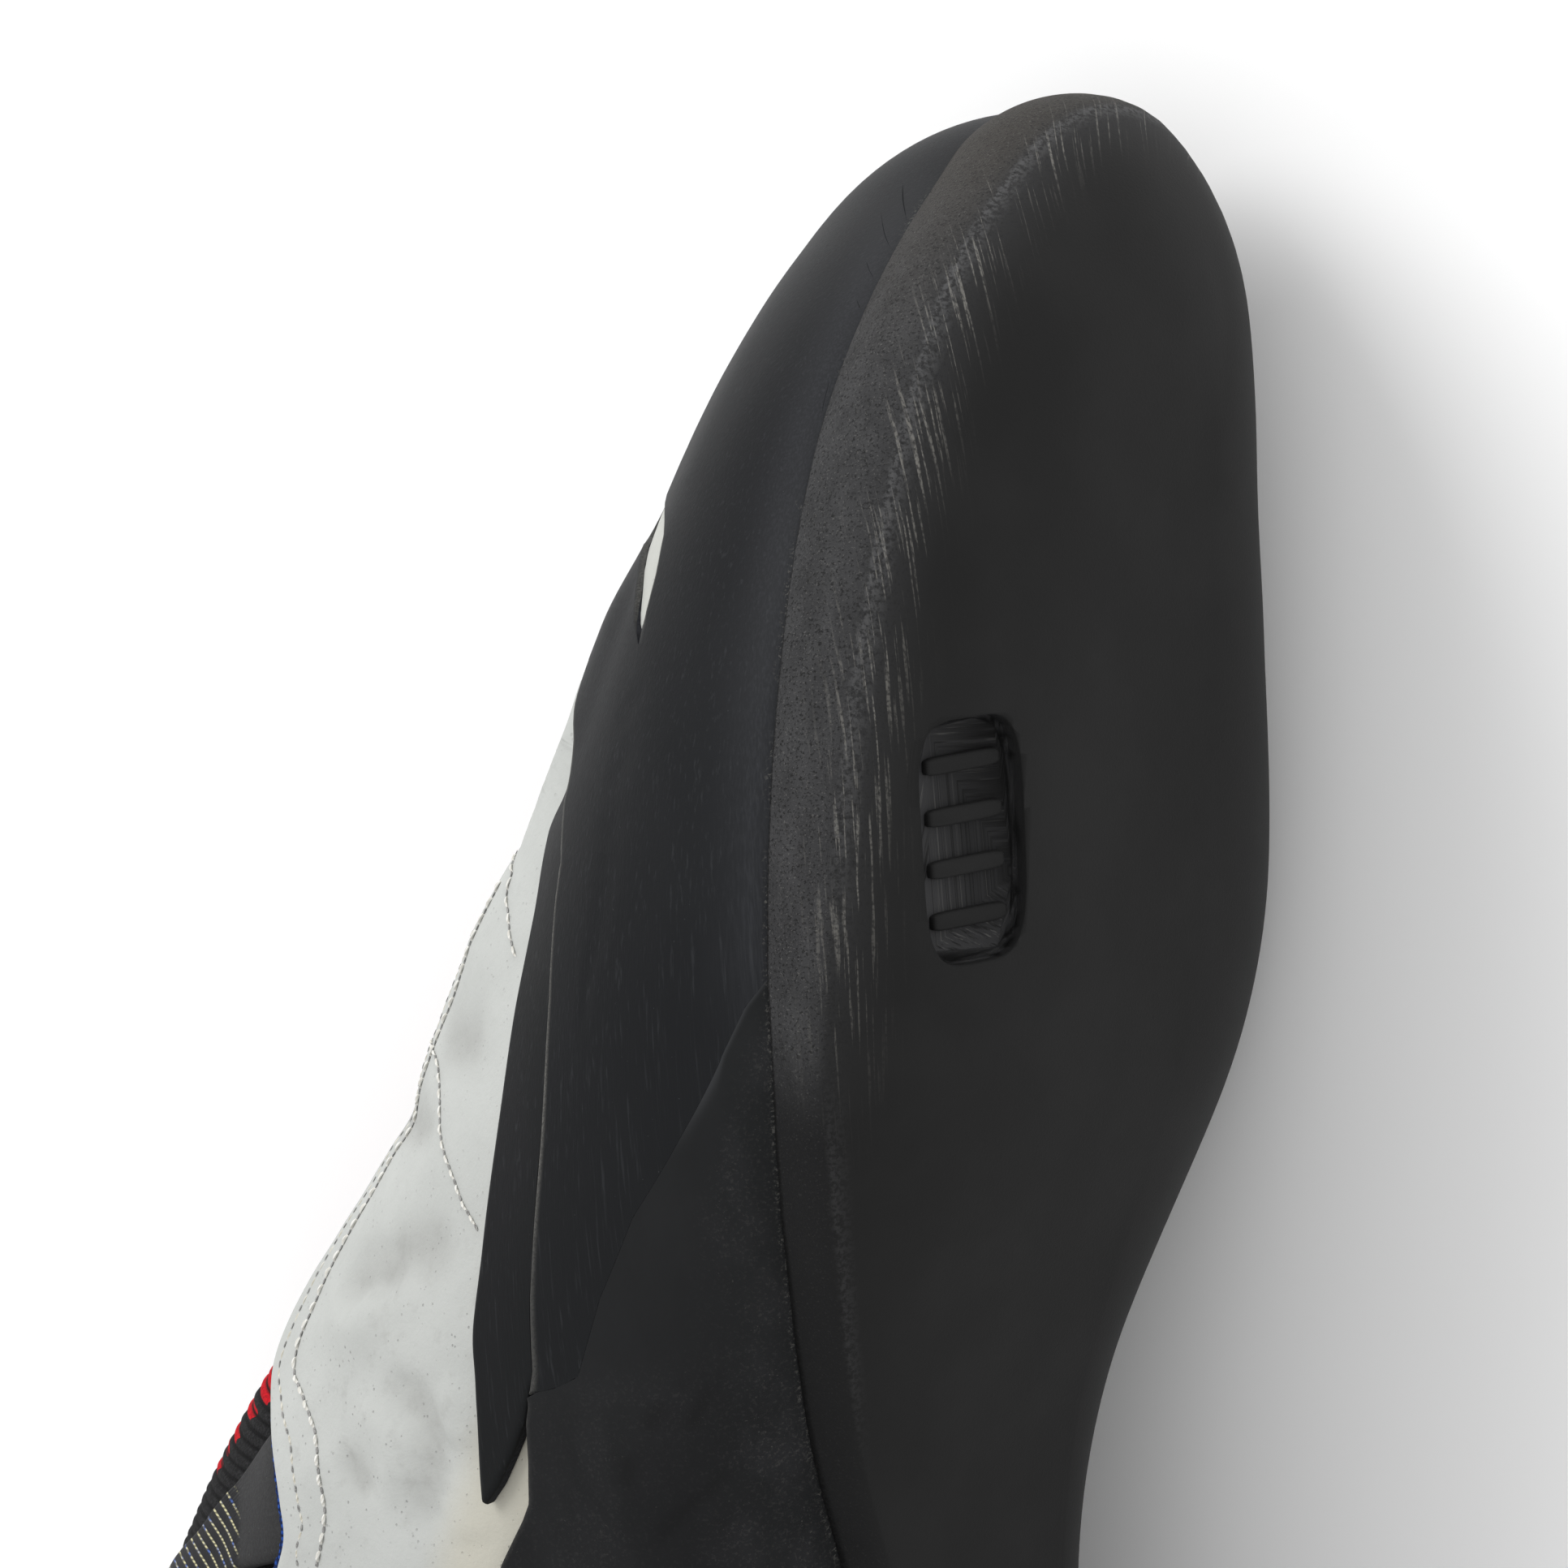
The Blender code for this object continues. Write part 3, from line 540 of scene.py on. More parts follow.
def stitches(name, paths, lift, radius, paint):
    """Rows of single stitches: short rounded threads whose ends dive into the material."""
    parts = []
    k = np.linspace(0, 1, 8)
    arch = np.sin(np.pi * k) ** 0.5
    size = radius * (0.35 + 0.65 * arch)
    for path in paths:
        p, n, s = route_on(path, lift, 0.0002)
        for start in np.arange(0.25 * THREAD_PITCH, s[-1] - THREAD_LENGTH, THREAD_PITCH):
            q, m = read_at(start + k * THREAD_LENGTH, s, p, n)
            parts.append(tube(q + m * ((arch - 0.75) * radius * 1.3)[:, None], m, size, size * 0.85))
    return make(name, *join(parts), (paint,), sharp=70)


def holes(name, paths, lift, radius, paint):
    """Needle holes: shallow dark beads in the gaps between stitches, standing in as painted shade of the
    holes.
    """
    parts = []
    gap = THREAD_PITCH - THREAD_LENGTH
    size = radius * np.array((0.4, 0.9, 1.0, 0.9, 0.4))
    for path in paths:
        p, n, s = route_on(path, lift, 0.0002)
        for start in np.arange(0.25 * THREAD_PITCH - gap / 2, s[-1] - THREAD_LENGTH, THREAD_PITCH):
            q, m = read_at(np.clip(start + np.linspace(-0.6, 0.6, 5) * gap, 0, s[-1]), s, p, n)
            parts.append(tube(q - m * radius * 0.1, m, size, size * 0.3))
    return make(name, *join(parts), (paint,), sharp=70)


# materials
def tone(r, g, b):
    """Linear colour from one given as it looks on a screen, 0 to 255."""
    shares = [c / 255 for c in (r, g, b)]
    return (*(((c + 0.055) / 1.055) ** 2.4 if c > 10 / 255 else c / 12.92 for c in shares), 1.0)


class Paint:
    """One node material, built step by step. Colours are sockets, linear tuples of 4 or screen ones of 3."""

    def __init__(self, name, roughness, specular=0.25):
        self.mat = bpy.data.materials.new(name)
        self.mat.use_nodes = True
        self.tree = self.mat.node_tree
        self.shader = self.tree.nodes["Principled BSDF"]
        self.shader.inputs["Roughness"].default_value = roughness
        self.shader.inputs["Specular IOR Level"].default_value = specular

    def put(self, socket, value):
        if isinstance(value, bpy.types.NodeSocket):
            self.tree.links.new(value, socket)
        else:
            socket.default_value = value

    def node(self, kind, inputs, output, **settings):
        """Output of a new node, from its settings and the values or sockets of its inputs."""
        made = self.tree.nodes.new("ShaderNode" + kind)
        for key, value in settings.items():
            setattr(made, key, value)
        for key, value in inputs.items():
            self.put(made.inputs[key], value)
        return made.outputs[output]

    def place(self, scale=(1, 1, 1)):
        """Place on the shoe in millimetres, stretched by a scale for each axis."""
        spot = self.node("Attribute", {}, "Vector", attribute_name="form_mm")
        return self.node("Mapping", {"Vector": spot, "Scale": scale}, "Vector")

    def field(self, name):
        return self.node("Attribute", {}, "Fac", attribute_name=name)

    def noise(self, scale, detail=3.0, rough=0.55, stretch=(1, 1, 1), distortion=0.0):
        inputs = {"Vector": self.place(stretch), "Scale": scale, "Detail": detail, "Roughness": rough,
                  "Distortion": distortion}
        return self.node("TexNoise", inputs, "Fac")

    def drawn(self, side, run):
        """Noise drawn out along the scratches of the sole."""
        spot = {"X": self.times(self.field("side"), side), "Y": self.times(self.field("run"), run)}
        spot = self.node("CombineXYZ", spot, "Vector")
        inputs = {"Vector": spot, "Scale": 1.0, "Detail": 2.0, "Roughness": 0.6}
        return self.node("TexNoise", inputs, "Fac")

    def bands(self, scale, way, distortion, detail=2.0):
        inputs = {"Vector": self.place(), "Scale": scale, "Distortion": distortion, "Detail": detail}
        return self.node("TexWave", inputs, "Fac", bands_direction=way)

    def rise(self, value, low, high):
        """0 below low, 1 above high, eased between."""
        inputs = {"Value": value, "From Min": low, "From Max": high}
        return self.node("MapRange", inputs, "Result", interpolation_type="SMOOTHSTEP")

    def specks(self, low, high, *noise):
        """Noise as a mask: 0 below low, 1 above high."""
        return self.rise(self.noise(*noise), low, high)

    def scale(self, value, low, high):
        """Turns 0 to 1 into low to high."""
        return self.node("MapRange", {"Value": value, "To Min": low, "To Max": high}, "Result")

    def math(self, way, a, b=0.0):
        return self.node("Math", {0: a, 1: b}, 0, operation=way)

    def times(self, value, *others):
        for other in others:
            value = self.math("MULTIPLY", value, other)
        return value

    def mix(self, share, first, second):
        both = [tone(*c) if isinstance(c, tuple) and len(c) == 3 else c for c in (first, second)]
        return self.node("Mix", {0: share, 6: both[0], 7: both[1]}, 2, data_type="RGBA")

    def tint(self, colour, over, *shares):
        """The colour with another laid over it, as far as the product of the shares."""
        return self.mix(self.times(*shares), colour, over)

    def bump(self, height, distance, strength, over=None):
        """Relief from a height of 0 to 1 with a depth in metres, over an earlier relief."""
        inputs = {"Height": height, "Distance": distance, "Strength": strength}
        if over is not None:
            inputs["Normal"] = over
        return self.node("Bump", inputs, "Normal")

    def done(self, colour, relief=None, roughness=None):
        for key, value in (("Base Color", colour), ("Normal", relief), ("Roughness", roughness)):
            if value is not None:
                self.put(self.shader.inputs[key], value)
        return self.mat


def outsole_rubber():
    """Matte black sole; its side wall ground grey with specks, fine scratches over the corner; a painted
    sheen and a painted highlight over the corner, a painted shade line in the gap at its edge.
    """
    p = Paint("outsole_rubber_finish", 0.62, 0.08)
    wall, brushed_and_sheen, waist = p.field("wall"), p.field("brushed_and_sheen"), p.field("waist")
    base = p.mix(p.specks(0.35, 0.7, 0.06), (29, 29, 29), (33, 33, 33))
    grain = p.noise(3.4, 3.0, 0.7)
    ground = p.mix(p.specks(0.3, 0.7, 0.45, 3.0, 0.6, (1, 0.3, 1)), (50, 50, 51), (60, 60, 61))
    ground = p.tint(ground, (54, 51, 47), p.field("toe"), 0.8)
    ground = p.tint(ground, (27, 27, 28), waist)
    ground = p.tint(ground, (24, 24, 24), p.rise(grain, 0.53, 0.63), p.scale(waist, 0.85, 0.3))
    ground = p.tint(ground, (98, 97, 95), p.specks(0.58, 0.68, 4.6, 3.0, 0.7), p.scale(waist, 0.6, 0.2))
    colour = p.mix(wall, base, ground)
    streak = p.drawn(5.0, 0.10)
    lines = p.times(p.rise(streak, 0.56, 0.64), p.scale(p.rise(p.drawn(6.0, 2.6), 0.38, 0.58), 0.2, 1.0))
    # painted sheen: the band past the sole's corner lightened as if lit, with real scratches drawn over it
    colour = p.tint(colour, (54, 54, 55), brushed_and_sheen, 0.5)
    colour = p.tint(colour, (122, 120, 115), lines, brushed_and_sheen, 0.75)
    colour = p.tint(colour, (26, 26, 26), p.rise(grain, 0.54, 0.62), brushed_and_sheen, 0.5)
    # painted highlight: light streaks along the sole's corner
    colour = p.tint(colour, (100, 100, 101), p.field("ridge"), p.specks(0.40, 0.60, 2.0, 3.0, 0.7), 0.45)
    ragged = p.scale(p.specks(0.35, 0.55, 2.6, 3.0, 0.7), 0.45, 1.0)
    # painted shade: a dark ragged line for the gap between sole and rand
    colour = p.tint(colour, (13, 13, 13), p.rise(p.field("lip"), 0.15, 0.8), ragged, 0.9)
    relief = p.bump(grain, 0.00005, 0.5)
    relief = p.bump(p.times(grain, wall), 0.00014, 0.8, relief)
    relief = p.bump(p.times(streak, brushed_and_sheen), 0.00012, 0.8, relief)
    return p.done(colour, relief, p.scale(p.math("ADD", wall, brushed_and_sheen), 0.58, 0.66))


def smooth_rubber(name, dark, light):
    """Calendered rubber: nearly even blue-black, a painted sheen with brushed streaks by the sole, a ground
    line at its edge lightened partly as a painted highlight, painted shade away from the sole.
    """
    p = Paint(name, 0.5, 0.06)
    lip = p.field("lip")
    colour = p.mix(p.specks(0.35, 0.68, 0.05, 3.0, 0.6, (1, 0.5, 1)), dark, light)
    # painted shade: darker higher above the sole and toward the heel
    colour = p.tint(colour, (26, 27, 28), p.field("painted_shade"), 0.5)
    brush = p.noise(1.0, 3.0, 0.6, (5.0, 0.22, 5.0))
    sheen = p.scale(p.rise(brush, 0.40, 0.70), 0.55, 1.0)
    # painted sheen: a lighter streaky band beside the sole
    colour = p.tint(colour, (50, 51, 54), p.field("brushed_and_sheen"), sheen, 0.75)
    colour = p.tint(colour, (74, 76, 79), p.specks(0.56, 0.74, 1.0, 3.0, 0.6, (3.0, 0.12, 3.0)), 0.16)
    colour = p.tint(colour, (80, 82, 84), p.specks(0.75, 0.80, 3.0, 2.0, 0.5), 0.35)
    grains = p.specks(0.38, 0.60, 4.2, 3.0, 0.7)
    colour = p.tint(colour, (84, 83, 80), p.field("fleck"), p.specks(0.54, 0.64, 3.4, 3.0, 0.7))
    # ground grey edge of the rubber, lightened partly as a painted highlight on its bevel
    colour = p.tint(colour, (108, 107, 103), lip, p.scale(grains, 0.5, 1.0))
    relief = p.bump(brush, 0.00003, 0.6)
    relief = p.bump(p.noise(1.6, 4.0, 0.6), 0.00003, 0.5, relief)
    relief = p.bump(p.times(grains, lip), 0.0001, 0.8, relief)
    return p.done(colour, relief, p.scale(brush, 0.45, 0.57))


def ground_rubber():
    """Heel rand: smooth beside the seam, scuffed with a wheel and grainy toward the sole; painted shade away
    from the sole and in its creases.
    """
    p = Paint("heel_rand_finish", 0.62, 0.08)
    worn = p.field("ground")
    colour = p.mix(p.specks(0.38, 0.66, 0.07, 4.0, 0.6, (1, 0.6, 1), 0.4), (28, 29, 30), (33, 34, 35))
    # painted shade: darker away from the sole and toward the heel
    colour = p.tint(colour, (27, 27, 28), p.field("painted_shade"), 0.5)
    grain = p.noise(2.8, 4.0, 0.7)
    scuff = p.specks(0.42, 0.66, 0.16, 4.0, 0.6, (1, 0.5, 1))
    colour = p.tint(colour, (44, 44, 46), scuff, worn, 0.55)
    colour = p.tint(colour, (62, 61, 60), p.rise(grain, 0.52, 0.66), worn, p.scale(scuff, 0.3, 0.9))
    dots = p.times(p.specks(0.66, 0.74, 4.2, 2.0, 0.6), p.specks(0.45, 0.62, 0.25, 2.0, 0.6))
    colour = p.tint(colour, (86, 85, 82), dots, worn, 0.8)
    # painted shade in the creases
    colour = p.tint(colour, (18, 18, 18), p.field("crease_shade"), 0.35)
    colour = p.tint(colour, (58, 59, 61), p.field("seam"), 0.55)
    colour = p.tint(colour, (84, 83, 80), p.field("fleck"), p.specks(0.52, 0.62, 3.4, 3.0, 0.7))
    colour = p.tint(colour, (70, 69, 66), p.field("lip"), p.specks(0.3, 0.6, 2.6, 3.0, 0.7))
    relief = p.bump(p.times(grain, worn), 0.00014, 0.7)
    return p.done(colour, p.bump(p.noise(0.5), 0.0002, 0.3, relief))


def leather():
    """Off-white suede-like leather: fine grain, tiny pores, soft grey marks, warmer near the tail; grey in
    the creases partly soil, partly painted shade.
    """
    p = Paint("upper_leather_finish", 0.8, 0.12)
    worn = p.field("worn")
    colour = p.mix(p.specks(0.3, 0.7, 0.055, 4.0, 0.6), (175, 177, 174), (183, 185, 182))
    mottled = p.noise(0.42, 5.0, 0.65)
    colour = p.tint(colour, (166, 167, 164), p.rise(mottled, 0.5, 0.78), p.scale(worn, 0.2, 0.8))
    colour = p.tint(colour, (192, 187, 170), p.field("warm"), 0.6)
    cells = p.node("TexVoronoi", {"Vector": p.place(), "Scale": 1.3}, "Distance")
    pores = p.math("SUBTRACT", 1.0, p.rise(cells, 0.10, 0.20))
    pores = p.times(pores, p.specks(0.45, 0.60, 0.5, 2.0))
    colour = p.tint(colour, (118, 118, 115), pores, p.scale(worn, 0.12, 0.6))
    # grey in the crease troughs, partly soil and partly painted shade; a little soil along the seams
    colour = p.tint(colour, (146, 146, 143), p.field("soil_and_crease_shade"), p.scale(mottled, 0.35, 1.0))
    relief = p.bump(p.noise(2.6, 4.0, 0.65), 0.00007, 0.7)
    relief = p.bump(p.noise(0.7, 3.0, 0.6), 0.00016, 0.4, relief)
    return p.done(colour, p.bump(p.math("SUBTRACT", 1.0, pores), 0.00012, 0.6, relief))


def fibres(name, light, dark, finish, noise, low, depth, strength):
    """Raw edges and board: two tones of short fibres. Finish is roughness and specular."""
    p = Paint(name, *finish)
    fibre = p.noise(*noise)
    return p.done(p.mix(p.rise(fibre, low, 0.7), light, dark), p.bump(fibre, depth, strength))


def lining_cloth(name, first, second):
    """Close-woven backing cloth, two tones crossing at right angles."""
    p = Paint(name, 0.9, 0.1)
    both = p.times(p.bands(0.55, "Y", 0.6, 1.0), p.bands(0.55, "Z", 0.6, 1.0))
    colour = p.mix(p.rise(both, 0.1, 0.6), first, second)
    colour = p.tint(colour, second, p.specks(0.5, 0.7, 1.8, 3.0, 0.7), 0.5)
    return p.done(colour, p.bump(both, 0.00018, 0.7))


def thread_paint(name, light, dark):
    """Twisted thread."""
    p = Paint(name, 0.6, 0.3)
    twist = p.bands(1.1, "DIAGONAL", 1.0)
    return p.done(p.mix(p.rise(twist, 0.2, 0.8), dark, light), p.bump(twist, 0.0001, 0.6))


def dark_mark(name, colour):
    """Plain matte paint for cut edges and small marks, with darker flecks."""
    p = Paint(name, 0.8, 0.1)
    fleck = p.noise(3.0)
    deeper = tuple(c * 0.55 for c in tone(*colour)[:3]) + (1.0,)
    return p.done(p.mix(p.rise(fleck, 0.4, 0.65), colour, deeper), p.bump(fleck, 0.00004, 0.5))


def knit_cloth():
    """Ribbed black knit with woven-in red blocks, and painted shade in the grooves between the ribs."""
    p = Paint("tongue_knit_finish", 0.92, 0.12)
    fuzz = p.noise(3.4, 4.0, 0.7)
    black = p.mix(p.rise(fuzz, 0.4, 0.7), (22, 22, 23), (46, 46, 47))
    red = p.mix(p.rise(fuzz, 0.35, 0.7), (196, 14, 30), (140, 8, 22))
    colour = p.mix(p.rise(p.field("block"), 0.45, 0.55), black, red)
    # painted shade in the grooves between the ribs
    colour = p.tint(colour, (12, 12, 13), p.math("SUBTRACT", 1.0, p.rise(p.field("rib"), 0.0, 0.5)))
    return p.done(colour, p.bump(fuzz, 0.00022, 0.8))


def strap_web():
    """Smooth black strap; one end woven with fine pale and blue diagonal threads."""
    p = Paint("strap_web_finish", 0.66, 0.2)
    grain, weave = p.noise(3.0, 4.0, 0.65), p.field("woven")
    colour = p.mix(p.rise(grain, 0.35, 0.7), (33, 33, 34), (44, 44, 45))
    colour = p.tint(colour, (90, 89, 85), p.specks(0.68, 0.74, 4.0, 2.0), 0.5)
    row = p.math("SINE", p.times(p.field("weft"), 2 * np.pi / 0.82))
    turn = p.math("ADD", p.times(p.field("warp"), 2 * np.pi / 0.30), p.times(p.noise(0.6, 2.0), 6.0))
    bead = p.rise(p.math("SINE", turn), -0.5, 0.4)
    thread = p.times(p.rise(row, 0.66, 0.95), p.scale(bead, 0.3, 1.0))
    pale = p.mix(p.specks(0.50, 0.62, 0.8, 2.0), (196, 190, 150), (70, 100, 170))
    colour = p.mix(weave, colour, p.mix(thread, (18, 18, 22), pale))
    colour = p.tint(colour, (104, 103, 101), p.field("lip"), 0.8)
    relief = p.bump(grain, 0.00008, 0.6)
    return p.done(colour, p.bump(p.times(p.scale(row, 0.5, 1.0), weave), 0.0002, 0.7, relief))


def floor_paint():
    p = Paint("floor_paint", 0.9, 0.1)
    return p.done(p.mix(p.noise(0.02, 2.0), (250, 250, 250), (252, 252, 252)))


# pieces
def keep(obj, slot, *nodes):
    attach(obj, "root")
    if nodes:
        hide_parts(*nodes)
    return obj


# creases of the leather: path of (w, t), half width and depth in metres (below zero is a raised fold)
CREASES = (
    (((0.6255, 0.560), (0.6375, 0.532), (0.6435, 0.488), (0.636, 0.42)), 0.0024, 0.0014),
    (((0.6055, 0.406), (0.597, 0.349), (0.5895, 0.304), (0.577, 0.273), (0.5615, 0.259), (0.5455, 0.253),
      (0.5295, 0.244)), 0.0022, 0.0015),
    (((0.619, 0.580), (0.619, 0.499), (0.620, 0.449), (0.614, 0.40)), 0.0026, -0.0009),
    (((0.593, 0.427), (0.580, 0.354), (0.564, 0.310), (0.5445, 0.288)), 0.0020, -0.0008),
    (((0.604, 0.291), (0.5895, 0.250), (0.572, 0.228)), 0.0020, -0.0007),
    (((0.556, 0.240), (0.547, 0.200), (0.5335, 0.171)), 0.0020, -0.0005),
    (((0.6965, 0.80), (0.6965, 0.70), (0.6985, 0.60), (0.702, 0.496)), 0.0026, 0.0007),
    (((0.7315, 0.62), (0.7385, 0.518), (0.741, 0.474)), 0.0030, 0.0004),
    (((0.648, 0.501), (0.656, 0.413), (0.660, 0.348)), 0.0030, 0.0005),
    (((0.570, 0.42), (0.560, 0.37), (0.548, 0.33)), 0.0020, 0.0005),
    (((0.500, 0.33), (0.494, 0.26), (0.482, 0.19)), 0.0030, 0.0007),
    (((0.440, 0.24), (0.446, 0.18), (0.440, 0.12)), 0.0032, 0.0006),
    (((0.120, 0.28), (0.150, 0.25), (0.185, 0.20)), 0.0030, 0.0005),
    (((1.34, 0.64), (1.345, 0.52), (1.34, 0.40)), 0.0034, 0.0008),
    (((1.40, 0.60), (1.405, 0.47), (1.40, 0.36)), 0.0034, 0.0008),
    (((1.45, 0.52), (1.46, 0.42), (1.455, 0.30)), 0.0034, 0.0007),
    (((1.52, 0.40), (1.53, 0.30), (1.525, 0.20)), 0.0034, 0.0006),
)
# rows of stitches on the lateral side, as paths of (w, t)
EDGE_ROW = (
    (0.517, 0.416), (0.525, 0.427), (0.5335, 0.43), (0.54, 0.445), (0.548, 0.464), (0.559, 0.493),
    (0.568, 0.518), (0.576, 0.555), (0.5855, 0.598), (0.6, 0.65), (0.64, 0.69), (0.7, 0.705), (0.8, 0.69),
)
SECOND_ROW = (
    (0.518, 0.384), (0.5255, 0.386), (0.536, 0.393), (0.5455, 0.407), (0.554, 0.426), (0.5625, 0.444),
    (0.57, 0.461), (0.577, 0.483), (0.583, 0.51), (0.5885, 0.541), (0.5925, 0.573), (0.598, 0.593),
    (0.6065, 0.611), (0.62, 0.625), (0.64, 0.64), (0.683, 0.652), (0.7175, 0.642), (0.76, 0.63),
    (0.8, 0.622),
)
WAIST_SEAM = (
    (0.7275, 0.691), (0.7255, 0.62), (0.721, 0.584), (0.711, 0.538), (0.7025, 0.51), (0.6955, 0.478),
    (0.689, 0.443), (0.6825, 0.411), (0.6755, 0.38), (0.6695, 0.349), (0.6625, 0.319),
)
VAMP_SEAM = (
    (0.8105, 0.64), (0.806, 0.605), (0.8025, 0.584), (0.796, 0.574), (0.789, 0.546), (0.7835, 0.524),
    (0.778, 0.499), (0.772, 0.473),
)


def medial_row(inset):
    """A stitch path that follows the medial throat edge at an inset."""
    w = 2 - np.linspace(0.52, 0.80, 26)
    return np.stack([w, throat_edge(w) - inset], -1)


ROWS = (EDGE_ROW, SECOND_ROW, medial_row(0.022), medial_row(0.052))


def leather_lift(w, t):
    """Outside of the leather over the form: wall, lift, soft unevenness, creases and a slight wedge by the
    toe patch.
    """
    w, t = np.broadcast_arrays(w, t)
    p = surface(w, t)
    out = UPPER_WALL + bulge(w, t) + 0.00022 * waves(p, 0.013, 4) + 0.00008 * waves(p, 0.004, 5, 14)
    for path, width, depth in CREASES:
        out = out - depth * furrow(p, path, width)
    wedge = smooth(w, FIN_V, 0.871) * (1 - smooth(w, 0.895, 0.910))
    wedge = wedge * smooth(t, 0.30, 0.34) * (1 - smooth(t, 0.60, 0.68))
    return np.maximum(out, bulge(w, t) + 0.0008) + 0.0003 * wedge


def build_upper(outside, edge, cloth):
    w = columns(0.0, 1.0)
    low, top = MARGIN_T + 0 * w, throat_edge(w)
    t = levels(low, top, 62)
    w = w[:, None] + 0 * t
    edge_fall = edge_round(top[:, None] - t, 0.010, 0.0004)
    crown = np.exp(-((top[:, None] - t - 0.018) / 0.012) ** 2) * 0.00012
    closed = v_of(w) >= THROAT_V
    out = leather_lift(w, t) + np.where(closed, 0, crown - edge_fall)
    p = surface(w, t)
    v = v_of(w)
    worn = smooth(v, 0.50, 0.56) * (1 - smooth(v, 0.62, 0.68))
    worn = worn * smooth(t, 0.15, 0.3) * (1 - smooth(t, 0.45, 0.6))
    warm = (1 - smooth(v, 0.575, 0.60)) * (1 - smooth(t, 0.17, 0.24)) * (v > 0.5)
    warm = warm + 0.25 * smooth(v, 0.855, 0.87) * (1 - smooth(t, 0.5, 0.6))
    # crease troughs greyed, partly soil and partly painted shade; the seams get a little soil
    soil_and_crease_shade = 0
    for path, width, depth in CREASES:
        if depth > 0:
            soil_and_crease_shade = soil_and_crease_shade + 0.70 * furrow(p, path, width * 0.8)
    for seam in (WAIST_SEAM, VAMP_SEAM):
        soil_and_crease_shade = soil_and_crease_shade + 0.15 * furrow(p, seam, 0.0005, 0.02)
    fields = {"worn": worn, "warm": np.clip(warm, 0, 1), "soil_and_crease_shade": np.clip(soil_and_crease_shade, 0, 1)}
    inner = LINING_WALL + 0.0001 + np.clip(bulge(w, t), 0, 1)
    hide = shell("upper_leather", w, t, inner, out, (outside, edge, cloth), fields, 50)
    keep(hide, "upper_leather", "upper")


def build_lining(cloth):
    """Thin backing inside the leather whose ragged cut edge shows along the throat."""
    w = columns(0.0, 1.0)
    low, top = MARGIN_T + 0 * w, throat_edge(w)
    v = v_of(w)
    ragged = 0.003 * waves(np.stack([v * 9, w * 3, 0 * w], -1), 0.02, 11, 14)
    shows = smooth(v, 0.46, 0.50) * (1 - smooth(v, 0.60, 0.64))
    top = top + (0.005 + ragged) * shows - 0.006 * (1 - shows)
    top = np.minimum(top, np.where(v >= THROAT_V, 1.0, 0.999))
    t = levels(low, top, 30)
    w = w[:, None] + 0 * t
    lift = np.clip(bulge(w, t), 0, 1)
    edge = throat_edge(w)
    at_edge = (UPPER_WALL - LINING_WALL - 0.0001) * smooth(t, edge - 0.014, edge - 0.002) * shows[:, None]
    keep(shell("throat_lining", w, t, lift, lift + LINING_WALL + at_edge, (cloth,)), "upper_leather")


# directions across and along the scratches of the sole, on the shoe
SCRATCH_SIDE = (-0.5053, -0.0867, -0.8586)
SCRATCH_RUN = (-0.1341, 0.9907, -0.0211)


def sole_offsets(w, t, edge, corner):
    share = np.clip((t - corner) / (edge - corner), 0, 1)
    ease = 0.22
    bent = (np.sqrt(share ** 2 + ease ** 2) - ease) / (np.sqrt(1 + ease ** 2) - ease)
    return OUTSOLE_OUT + (EDGE_OUT - OUTSOLE_OUT) * bent, share


def build_outsole(rubber):
    w = columns(0.0, 1.0)
    edge, corner = soft_line(SOLE_EDGE, w, 0.008)[:, None], soft_line(SOLE_CORNER, w, 0.010)[:, None]
    under = np.linspace(0, 1, 44)[None, :]
    t_under = -2 / np.pi * np.arccos(np.cos(corner * np.pi / 2) * np.clip(under, 0, 1) ** 2)
    t_wall = levels(corner[:, 0], edge[:, 0], 20)
    t = np.concatenate([t_under, t_wall[:, 1:]], axis=1)
    w = w[:, None] + 0 * t
    outer, share = sole_offsets(w, t, edge, corner)
    inner = OUTSOLE_IN - (GAP - 0.0001) * smooth(share, 0.4, 1.0)
    p = surface(w, t)
    v = v_of(w)
    outer = outer + 0.00006 * waves(p, 0.009, 21) * (1 - smooth(share, 0.7, 1))
    outer = outer - edge_round(edge - t, 0.004, 0.0001)
    ground = smooth(v, 0.60, 0.80)
    wall = smooth(t, corner - 0.015, corner + 0.03) * (0.5 + 0.5 * ground)
    past = corner - t
    # band past the corner: real scratches plus a painted sheen of the rounding
    brushed_and_sheen = np.exp(-((past - 0.03) / 0.075) ** 2) * smooth(v, 0.70, 0.84)
    # lip: the sole's edge, where a dark line of painted gap shade goes
    lip = np.clip(1 - (edge - t) / 0.010, 0, 1)
    toe = smooth(v, 0.90, 0.97)
    # ridge: where a painted highlight runs along the sole's corner
    ridge = np.exp(-((t - corner) / 0.010) ** 2) * smooth(v, 0.76, 0.88)
    behind = smooth(v, 0.56, 0.64) * (1 - smooth(v, 0.70, 0.76))
    ridge = ridge + 0.3 * np.exp(-((t - corner) / 0.008) ** 2) * behind
    fields = {"wall": wall, "brushed_and_sheen": brushed_and_sheen, "lip": lip, "toe": toe, "ridge": ridge,
              "waist": 1 - smooth(v, 0.715, 0.765), "side": p @ np.array(SCRATCH_SIDE) * 1000,
              "run": p @ np.array(SCRATCH_RUN) * 1000}
    sole = shell("outsole_body", w, t, inner, outer, (rubber,), fields, 40)
    return keep(sole, "outsole_rubber", "outsole")


